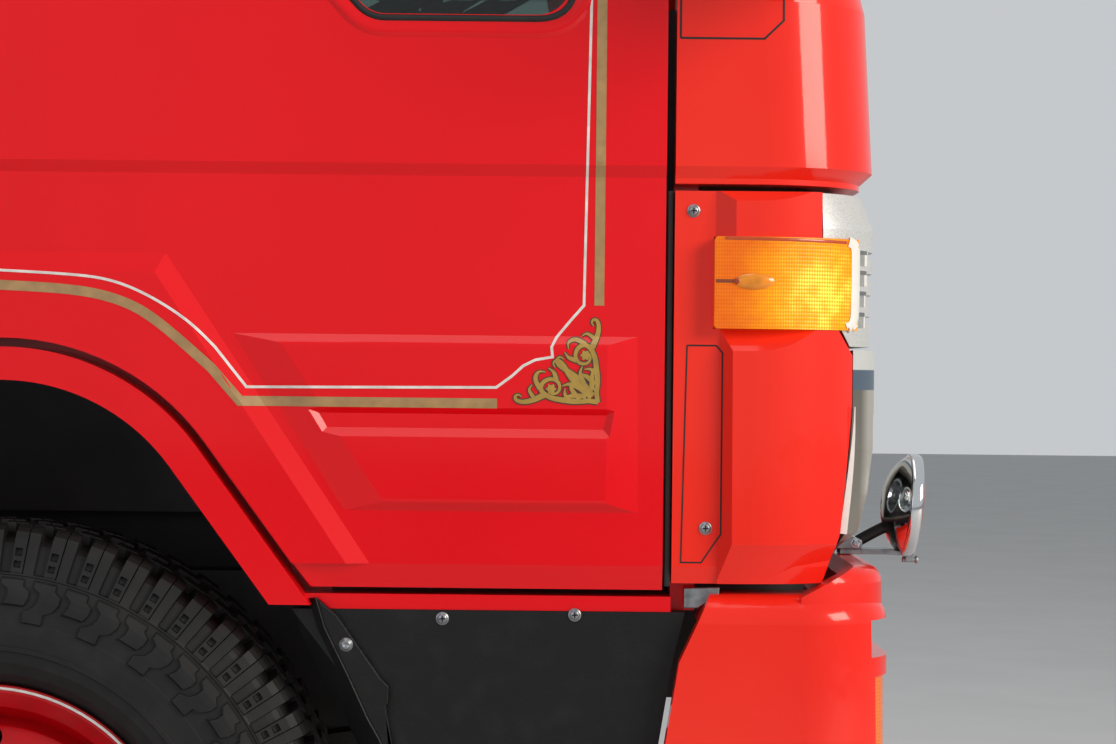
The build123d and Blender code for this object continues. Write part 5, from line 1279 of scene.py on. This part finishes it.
# rear: tread plate on the step, hand rails, lamp lenses and a blank plate
rear = {
    "stepTop": 510, "rows": (-4298, -4212), "treadPitch": 22, "treadReach": 836,
    "rail": [(-4199, 900), (-4232, 900), (-4240, 925), (-4240, 1535), (-4232, 1560), (-4199, 1560)],
    "railOut": 845, "railRadius": 13,
    "lamps": [(606, "redLens"), (690, "amberRound"), (774, "redLens")], "lampHeight": 795, "lampFace": -4222,
    "door": {"half": 560, "low": 1080, "high": 1560, "hinges": (-420, 0, 420), "latches": (-420, 420)},
    "plate": (160, 850, 1010), "deckRail": (-4120, -1340), "deckRailOut": 852, "deckRailHeight": 2015,
    "posts": 5,
}
# one raised bar of tread plate: a pointed six-cornered foot and a ridge over it
bar = np.array([(-11, 0, 0), (-5, 3.4, 0), (5, 3.4, 0), (11, 0, 0), (5, -3.4, 0), (-5, -3.4, 0), (-6, 0, 1.6),
                (6, 0, 1.6)])
barFaces = [(0, 6, 1), (1, 6, 7, 2), (2, 7, 3), (3, 7, 4), (4, 7, 6, 5), (5, 6, 0), (5, 4, 3, 2, 1, 0)]
low, high = rear["rows"]
ahead = np.arange(low, high + 1, rear["treadPitch"])
across = np.arange(-rear["treadReach"], rear["treadReach"] + 1, rear["treadPitch"])
gridAhead, gridAcross = (grid.ravel() for grid in np.meshgrid(ahead, across, indexing="ij"))
odd = (np.arange(len(ahead))[:, None] + np.arange(len(across))[None]).ravel() % 2
turn = np.where(odd, 1, -1) * np.pi / 4
turnedX = bar[None, :, 0] * np.cos(turn)[:, None] - bar[None, :, 1] * np.sin(turn)[:, None]
turnedY = bar[None, :, 0] * np.sin(turn)[:, None] + bar[None, :, 1] * np.cos(turn)[:, None]
spots = place(gridAhead[:, None] + turnedX,
              rear["stepTop"] - 0.1 + np.broadcast_to(bar[None, :, 2], turnedX.shape))
points = np.stack([spots[..., 0], (gridAcross[:, None] + turnedY) / 1000, spots[..., 1]], -1).reshape(-1, 3)
treadFaces = [[corner + 8 * number for corner in face] for number in range(len(gridAhead))
              for face in barFaces]
makePiece("stepTread", (points, treadFaces), "aluminium")
for sideName, side in sides.items():
    path = rounded(rear["rail"], 3)
    line = place(path[:, 0], path[:, 1])
    grip = tube(onSkin(line, rear["railOut"] / 1000, side), rear["railRadius"], 16)
    profile = [(-1, 0), (-1, 24), (4, 24), (6, 20), (6, 0)]
    ends = onSkin(line[[0, -1]], rear["railOut"] / 1000, side)
    flanges = [turned(profile, end, (-1, 0, 0), 24) for end in ends]
    makePiece("handRail_" + sideName, joined([grip] + flanges), "chrome", smooth=True)
    for across, finish in rear["lamps"]:
        centre = metres(rear["lampFace"], side * across, rear["lampHeight"])
        profile = [(-2, 0), (-2, 35), (4, 35), (8, 31), (11, 22), (12.5, 10), (13, 0)]
        lens = turned(profile, centre, (-1, 0, 0), 36)
        makePiece(f"tailLens_{across}_{sideName}", lens, finish, smooth=True)
        ring = turned([(-1, 34.5), (-1, 39), (5, 38.5), (6, 35.5), (-1, 34.5)], centre, (-1, 0, 0), 36)
        makePiece(f"tailRing_{across}_{sideName}", ring, "chrome", smooth=True)
    # rail along the deck's edge on short posts
    start, stop = rear["deckRail"]
    out, height = rear["deckRailOut"], rear["deckRailHeight"]
    ends = [(-4, 1950), (0, height - 8), (25, height)]
    path = [(start + ahead, up) for ahead, up in ends] + [(stop - ahead, up) for ahead, up in ends[::-1]]
    path = rounded(path, 3)
    line = place(*evenly(path, 120).T)
    bar3d = tube(onSkin(line, out / 1000, side), 12, 14)
    posts = []
    for ahead in np.linspace(start, stop, rear["posts"] + 2)[1:-1]:
        profile = [(0, 0), (0, 22), (5, 22), (7, 10), (60, 9), (60, 0)]
        posts.append(turned(profile, metres(ahead, side * out, 1959), (0, 0, 1), 18))
    makePiece("deckRail_" + sideName, joined([bar3d] + posts), "chrome", smooth=True)
# the rear locker's door: a raised sheet in the body's red, three hinges, two latches and a grab bar
door = rear["door"]
half, low, high = door["half"], door["low"], door["high"]
sheet = slab(roundedLoop(rectangle(-half, half, low, high), 25), -4199, -4212, plane="front")
softened(makePiece("rearLockerDoor", sheet, "red"), 3, 3)
seal = slab(roundedLoop(rectangle(-half - 7, half + 7, low - 7, high + 7), 30), -4199, -4202, plane="front")
makePiece("rearLockerSeal", seal, "rubber")
hinges = []
for across in door["hinges"]:
    centre = metres(-4208, across - 40, high + 12)
    hinges.append(turned([(0, 0), (0, 8), (80, 8), (80, 0)], centre, (0, 1, 0), 14))
    hinges.append(slab(rectangle(across - 36, across + 36, high - 42, high + 10), -4211, -4214.5,
                       plane="front"))
makePiece("rearLockerHinges", joined(hinges), "steel")
latches = []
for across in door["latches"]:
    profile = [(0, 0), (0, 26), (4, 26), (6, 22), (4, 17), (2, 16), (2, 0)]
    latches.append(turned(profile, metres(-4212, across, low + 60), (-1, 0, 0), 32))
    latches.append(slab(rectangle(across - 16, across + 16, low + 56, low + 64), -4212, -4219, plane="front"))
makePiece("rearLockerLatches", joined(latches), "chrome")
y = np.linspace(-1, 1, 21)
grab = np.stack([frontAxle["x"] - 4.212 - 0.034 * (1 - y ** 8), 0.26 * y, np.full(21, 1.16)], -1)
makePiece("rearGrabBar", tube(grab, 10, 14), "chrome", smooth=True)
half, low, high = rear["plate"]
plateCorners = roundedLoop(rectangle(-half, half, low, high), 12)
softened(makePiece("rearPlate", slab(plateCorners, -4200.5, -4205, plane="front"), "plate"), 1.5)
print("rear dressed")


# mirrors' glasses, side marker lamps, body lines and flap latches
bodySide = {
    "mirror": (1005, 66, 1580, 122), "mirrorFace": (904.6, 902.6), "markers": [(-2010, 690), (-4140, 690)],
    "lines": {"gold": (1034, 11), "white": (1020, 3)}, "span": (-4185, -1880),
    "latches": [(-3590, 972), (-3970, 972)],
}
for sideName, side in sides.items():
    across, halfWide, height, halfTall = bodySide["mirror"]
    loop = roundedLoop(rectangle(-halfWide, halfWide, -halfTall, halfTall) + (side * across, height), 18)
    softened(makePiece("mirrorGlass_" + sideName, slab(loop, *bodySide["mirrorFace"], plane="front"),
                       "chrome"), 0.6)
    markers = [roundedLoop(rectangle(-36, 36, -13, 13) + centre, 6) for centre in bodySide["markers"]]
    markers = [slab(loop, side * 892, side * 900) for loop in markers]
    softened(makePiece("sideMarkers_" + sideName, joined(markers), "amberRound"), 3)
    for colour, (height, width) in bodySide["lines"].items():
        path = [(ahead, height) for ahead in bodySide["span"]]
        line = skinStrip(path, width, "body_shell", side, 0.4, 3, 40)
        makePiece(f"{colour}Line_body_{sideName}", line, colour, closed=False)
    rings, grips = [], []
    for x, z in bodySide["latches"]:
        centre = metres(x, side * 912.8, z)
        profile = [(0, 0), (0, 21), (3, 21), (4, 18), (2.5, 15), (0.8, 14), (0.8, 0)]
        rings.append(turned(profile, centre, (0, side, 0), 32))
        grips.append(slab(rectangle(x - 13, x + 13, z - 3.5, z + 3.5), side * 913, side * 918.5))
    makePiece("flapLatches_" + sideName, joined(rings), "chrome", "flap_" + sideName, smooth=True)
    softened(makePiece("flapGrips_" + sideName, joined(grips), "steel", "flap_" + sideName), 1.2)
print("body sides dressed")


# front: headlamps behind clear covers, blank boss, plate and wipers
front = {
    "lamp": (562, 790, 803, 936), "bowls": [(622, 55), (732, 55)], "bowlHeight": 869, "back": 922,
    "cover": 958,
    "boss": 1.283, "plate": (165, 575, 735), "wipers": [-620, -80], "wiperLong": 520, "wiperFoot": 1.385,
}
for sideName, side in sides.items():
    inner, outer, low, high = front["lamp"]
    tray = slab(rectangle(side * inner, side * outer, low, high), front["back"] - 8, front["back"],
                plane="front")
    pieces = [makePiece("lampTray_" + sideName, tray, "silver")]
    shapes, bulbs = [], []
    for across, radius in front["bowls"]:
        # a parabola: depth along = 40 * (radius / widest) squared
        r = np.linspace(6, radius, 9)
        parabola = [(40 * (value / radius) ** 2, value) for value in r]
        profile = parabola + [(40, radius + 3), (-2, radius + 3), (-2, 6), parabola[0]]
        centre = metres(front["back"] - 4, side * across, front["bowlHeight"])
        shapes.append(turned(profile, centre, (1, 0, 0), 40))
        bulbs.append(turned([(-2, 0), (-2, 7), (16, 7), (22, 5), (24, 0)], centre, (1, 0, 0), 16))
    pieces.append(makePiece("lampBowls_" + sideName, joined(shapes), "chrome", smooth=True))
    pieces.append(makePiece("lampBulbs_" + sideName, joined(bulbs), "clearRibs", smooth=True))
    # the cover bulges 8 mm in the middle and turns back at its edges
    u, v = np.meshgrid(np.linspace(-1, 1, 25), np.linspace(-1, 1, 15))
    across = (inner + outer) / 2 + u * (outer - inner) / 2
    height = (low + high) / 2 + v * (high - low) / 2
    ahead = front["cover"] + 8 * (1 - u ** 2) * (1 - v ** 2) - 26 * np.maximum(np.abs(u), np.abs(v)) ** 24
    spots = place(ahead, height)
    points = onSkin(spots, across / 1000, side)
    cover = makePiece("lampCover_" + sideName, (points, gridFaces(15, 25)), "acrylic", smooth=True,
                      closed=False)
    pieces.append(walled(cover, 0.003, 0))
    for piece in pieces:
        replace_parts(piece, "headlamps")
bossAt = float(surfaceAhead(0.0, front["boss"], "cab_nose"))
profile = [(-3, 0), (-3, 42), (4, 42), (9, 38), (9, 33), (6, 31), (8, 24), (11, 12), (12, 0)]
boss = turned(profile, (bossAt, 0, front["boss"]), (1, 0, 0), 48)
makePiece("noseBoss", boss, "chrome", smooth=True)
half, low, high = front["plate"]
plateAt = float(surfaceAhead([0.0, 0.1], 0.655, "front_bumper").max() - frontAxle["x"]) * 1000
plateCorners = roundedLoop(rectangle(-half, half, low, high), 12)
softened(makePiece("frontPlate", slab(plateCorners, plateAt - 1, plateAt + 4, plane="front"), "plate"), 1.5)
blades, arms, pivots = [], [], []
for start in front["wipers"]:
    y = np.linspace(start, start + front["wiperLong"], 15) / 1000
    height = np.linspace(1.452, 1.470, 15)
    x = surfaceAhead(y, height, "windscreen")
    blades.append(tube(np.stack([x + 0.009, y, height], -1), 5.5, 8))
    blades.append(tube(np.stack([x + 0.018, y, height + 0.002], -1)[3:12], 4.0, 8))
    pivotY = y[0] + 0.05
    pivotX = float(surfaceAhead(pivotY, front["wiperFoot"], "cab_nose"))
    middle = np.array([x[7] + 0.022, y[7], height[7]])
    base = np.array([pivotX + 0.012, pivotY, front["wiperFoot"]])
    arms.append(tube(rounded([base, base + (0.012, 0.03, 0.03), middle - (0, 0.1, 0.004), middle], 3), 5, 10))
    pivots.append(turned([(-4, 0), (-4, 17), (6, 16), (16, 11), (20, 0)],
                         (pivotX, pivotY, front["wiperFoot"]), (1, 0, 0), 24))
makePiece("wiperBlades", joined(blades), "rubber", smooth=True)
makePiece("wiperArms", joined(arms), "plastic", smooth=True)
makePiece("wiperPivots", joined(pivots), "plastic", smooth=True)
print("front dressed")


# seats: crowned pads with sewn grooves and piping on plain bases
seatOut = 545
seatPads = {
    # name: centre ahead, across, up; half sizes ahead, across, up; the thick axis; places of the grooves
    "driverCushion": ((120, -seatOut, 1158), (245, 220, 55), "up", (-0.5, 0.5)),
    "mateCushion": ((120, seatOut, 1158), (245, 220, 55), "up", (-0.5, 0.5)),
    "driverBack": ((-160, -seatOut, 1410), (48, 215, 205), "ahead", (-0.5, 0.5)),
    "mateBack": ((-160, seatOut, 1410), (48, 215, 205), "ahead", (-0.5, 0.5)),
    "driverRest": ((-160, -seatOut, 1697), (40, 125, 58), "ahead", ()),
    "mateRest": ((-160, seatOut, 1697), (40, 125, 58), "ahead", ()),
    "benchCushion": ((-885, 0, 1135), (242, 735, 76), "up", (-0.667, -0.333, 0.333, 0.667)),
    "benchBack": ((-1094, 0, 1475), (43, 735, 260), "ahead", (-0.667, -0.333, 0.333, 0.667)),
}


def pad(centre, half, thick, grooves, rows=41, columns=65):
    # two sheets over (u, v) joined at their rim: thickness = (1 - u^14)^(1/3) * (1 - v^14)^(1/3) * (1 + 0.16
    # (1 - u^2)(1 - v^2)), less a narrow groove at each seam; the sides draw in by 3% between the corners
    u = np.sin(np.pi / 2 * np.linspace(-1, 1, rows))[:, None]
    v = np.sin(np.pi / 2 * np.linspace(-1, 1, columns))[None]
    edge = np.cbrt(1 - u ** 14) * np.cbrt(1 - v ** 14)
    top = edge * (1 + 0.16 * (1 - u ** 2) * (1 - v ** 2))
    for groove in grooves:
        top = top - 0.17 * edge * np.exp(-((v - groove) / 0.022) ** 2)
    along = u * (1 - 0.03 * (1 - v ** 2)) + 0 * v
    aside = v * (1 - 0.03 * (1 - u ** 2)) + 0 * u
    ahead, across, up = (np.array(c) for c in centre)
    shapes = []
    for height in (top, -edge):
        if thick == "up":
            points = np.stack([ahead + along * half[0], across + aside * half[1], up + height * half[2]], -1)
        else:
            points = np.stack([ahead + height * half[0], across + aside * half[1], up + along * half[2]], -1)
        shapes.append((points / 1000 + (frontAxle["x"], 0, 0), gridFaces(rows, columns)))
    return joined(shapes)


def piping(centre, half, thick):
    # a cord along the pad's upper rim
    corners = roundedLoop(rectangle(-0.985, 0.985, -0.985, 0.985), 0.06)
    corners = evenly(np.concatenate([corners, corners[:1]]), 0.08)[:-1]
    u, v = corners.T
    along, aside = u * (1 - 0.03 * (1 - v ** 2)), v * (1 - 0.03 * (1 - u ** 2))
    rise = np.full(len(u), 0.6)
    local = (along, aside, rise) if thick == "up" else (rise, aside, along)
    return tube((np.stack(local, -1) * half + centre) / 1000 + (frontAxle["x"], 0, 0), 4, 8, closed=True)


for name, (centre, half, thick, grooves) in seatPads.items():
    piece = makePiece(name, pad(centre, half, thick, grooves), "seat", smooth=True)
    cordPiece = makePiece("piping_" + name, piping(centre, half, thick), "rubber", smooth=True)
    for part in (piece, cordPiece):
        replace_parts(part, "seats")
bases = [rectangle(-118, 352, side * seatOut - 200, side * seatOut + 200) for side in (-1, 1)]
bases = [slab(corners, 1057.4, 1108, plane="top") for corners in bases]
bases.append(slab(rectangle(-1125, -665, -725, 725), 842.4, 1066, plane="top"))
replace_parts(softened(makePiece("seatBases", joined(bases), "plastic"), 12, 3), "seats")
posts = []
for side in (-1, 1):
    for off in (-60, 60):
        across = side * seatOut + off
        posts.append(tube([metres(-160, across, 1560), metres(-160, across, 1660)], 6, 10))
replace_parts(makePiece("restPosts", joined(posts), "chrome", smooth=True), "seats")
print("seats made")


# side tanks: two steel straps round each, the fuel tank's filler cap and the battery box's lid
tanks = {
    # inner and outer side, low and high, straps, how round the tank's edges are
    "left": {"in": 420, "out": 850, "low": 390, "high": 640, "straps": [-2040, -1540], "round": 50},
    "right": {"in": 440, "out": 850, "low": 420, "high": 640, "straps": [-1880, -1520], "round": 3},
    "width": 32, "thick": 3, "cap": (-1480, 560), "lid": rectangle(-2004, -1396, 608, 640),
}
for sideName, side in sides.items():
    tank = tanks[sideName]
    bands = []
    for ahead in tank["straps"]:
        corners = rectangle(tank["in"], tank["out"], tank["low"], tank["high"])
        inner = roundedLoop(corners, tank["round"])
        outer = stripOffsets(inner, [-tanks["thick"]], closed=True)[:, 0]
        ring = np.stack([inner - (inner - outer) * 0.1, outer, outer, inner - (inner - outer) * 0.1], 1)
        edge = np.array([-1, -1, 1, 1]) * tanks["width"] / 2
        spots = place(np.broadcast_to(ahead + edge, ring.shape[:2]), ring[..., 1])
        points = onSkin(spots, ring[..., 0] / 1000, side)
        bands.append((points, gridFaces(len(ring), 4, closedRows=True, closedColumns=True)))
    makePiece("tankStraps_" + sideName, joined(bands), "steel")
ahead, height = tanks["cap"]
profile = [(-6, 0), (-6, 40), (2, 40), (2, 34), (14, 34), (18, 30), (26, 29), (29, 25), (29, 0)]
cap = turned(profile, metres(ahead, tanks["left"]["out"], height), (0, 1, 0), 32)
makePiece("fillerCap", cap, "plastic", smooth=True)
lid = slab(tanks["lid"], -852, -846)
softened(makePiece("batteryLid", lid, "plastic"), 1.5)
print("tanks dressed")


# camera, light and floor
view = {"ahead": 643, "height": 984, "distance": 3000, "lens": 86.8, "roll": 0.6}
eye = place(view["ahead"], view["height"])
cameraData = bpy.data.cameras.new("camera")
cameraData.lens = view["lens"]
cameraData.sensor_width = 36
camera = bpy.data.objects.new("camera", cameraData)
camera.matrix_world = (
    Matrix.Translation((eye[0], -0.895 - view["distance"] / 1000, eye[1]))
    @ Matrix.Rotation(np.pi / 2, 4, "X")
    @ Matrix.Rotation(np.radians(view["roll"]), 4, "Z")
)
bpy.context.scene.collection.objects.link(camera)
bpy.context.scene.camera = camera


def areaLight(name, where, target, size, power, hexText):
    # a rectangular lamp that faces its target
    data = bpy.data.lights.new(name, "AREA")
    data.shape = "RECTANGLE"
    data.size, data.size_y = size
    data.energy = power
    data.color = toLinear(hexText)[:3]
    lamp = bpy.data.objects.new(name, data)
    away = np.asarray(where, float) - np.asarray(target, float)
    lamp.rotation_mode = "QUATERNION"
    lamp.rotation_quaternion = Vector(away.tolist()).to_track_quat("Z", "Y")
    lamp.location = where
    bpy.context.scene.collection.objects.link(lamp)
    return lamp


lights = {"key": 360, "fill": 110, "top": 120, "rear": 110}
areaLight("frontKey", (7.5, -4.5, 3.6), (1.8, -0.6, 1.0), (3.0, 3.0), lights["key"], "fff4e6")
areaLight("sideFill", (-3.0, -8.0, 3.0), (1.0, -0.8, 1.0), (5.0, 3.5), lights["fill"], "f2f6ff")
areaLight("overhead", (1.0, 0.0, 7.0), (0.0, 0.0, 1.0), (7.0, 4.0), lights["top"], "ffffff")
areaLight("rearLight", (-5.0, 7.0, 4.0), (0.0, 0.5, 1.0), (4.0, 4.0), lights["rear"], "ffffff")

world = bpy.data.worlds.new("studio")
world.use_nodes = True
bpy.context.scene.world = world
worldTree = world.node_tree
worldTree.nodes.clear()
rays = addNode(worldTree, "LightPath")
seen = addNode(worldTree, "Math", {"operation": "MAXIMUM"},
               {0: rays.outputs["Is Camera Ray"], 1: rays.outputs["Is Glossy Ray"]})
seen = addNode(worldTree, "Math", {"operation": "MAXIMUM"},
               {0: seen.outputs[0], 1: rays.outputs["Is Transmission Ray"]})
brightness = addNode(worldTree, "MapRange", {"To Min": 0.3, "To Max": 0.66},
                     {"Value": seen.outputs[0]}).outputs[0]
background = addNode(worldTree, "Background", {"Color": toLinear("eef1f4")}, {"Strength": brightness})
addNode(worldTree, "OutputWorld", links={"Surface": background.outputs[0]})

# smooth pale concrete, in clouds 400 mm wide
floorMaterial = mottledFinish("paleFloor", ("d9dbdc", "dfe1e2"), (400, 3, 0.3, 0.7, 1.0), None,
                              {"Roughness": 0.7})
floorMesh = bpy.data.meshes.new("floor")
floorMesh.from_pydata([(-30, -30, -0.001), (30, -30, -0.001), (30, 30, -0.001), (-30, 30, -0.001)], [],
                      [(0, 1, 2, 3)])
floorMesh.materials.append(floorMaterial)
floor = bpy.data.objects.new("floor", floorMesh)
bpy.context.scene.collection.objects.link(floor)
bpy.context.scene.view_settings.view_transform = "Standard"
print("stage set")
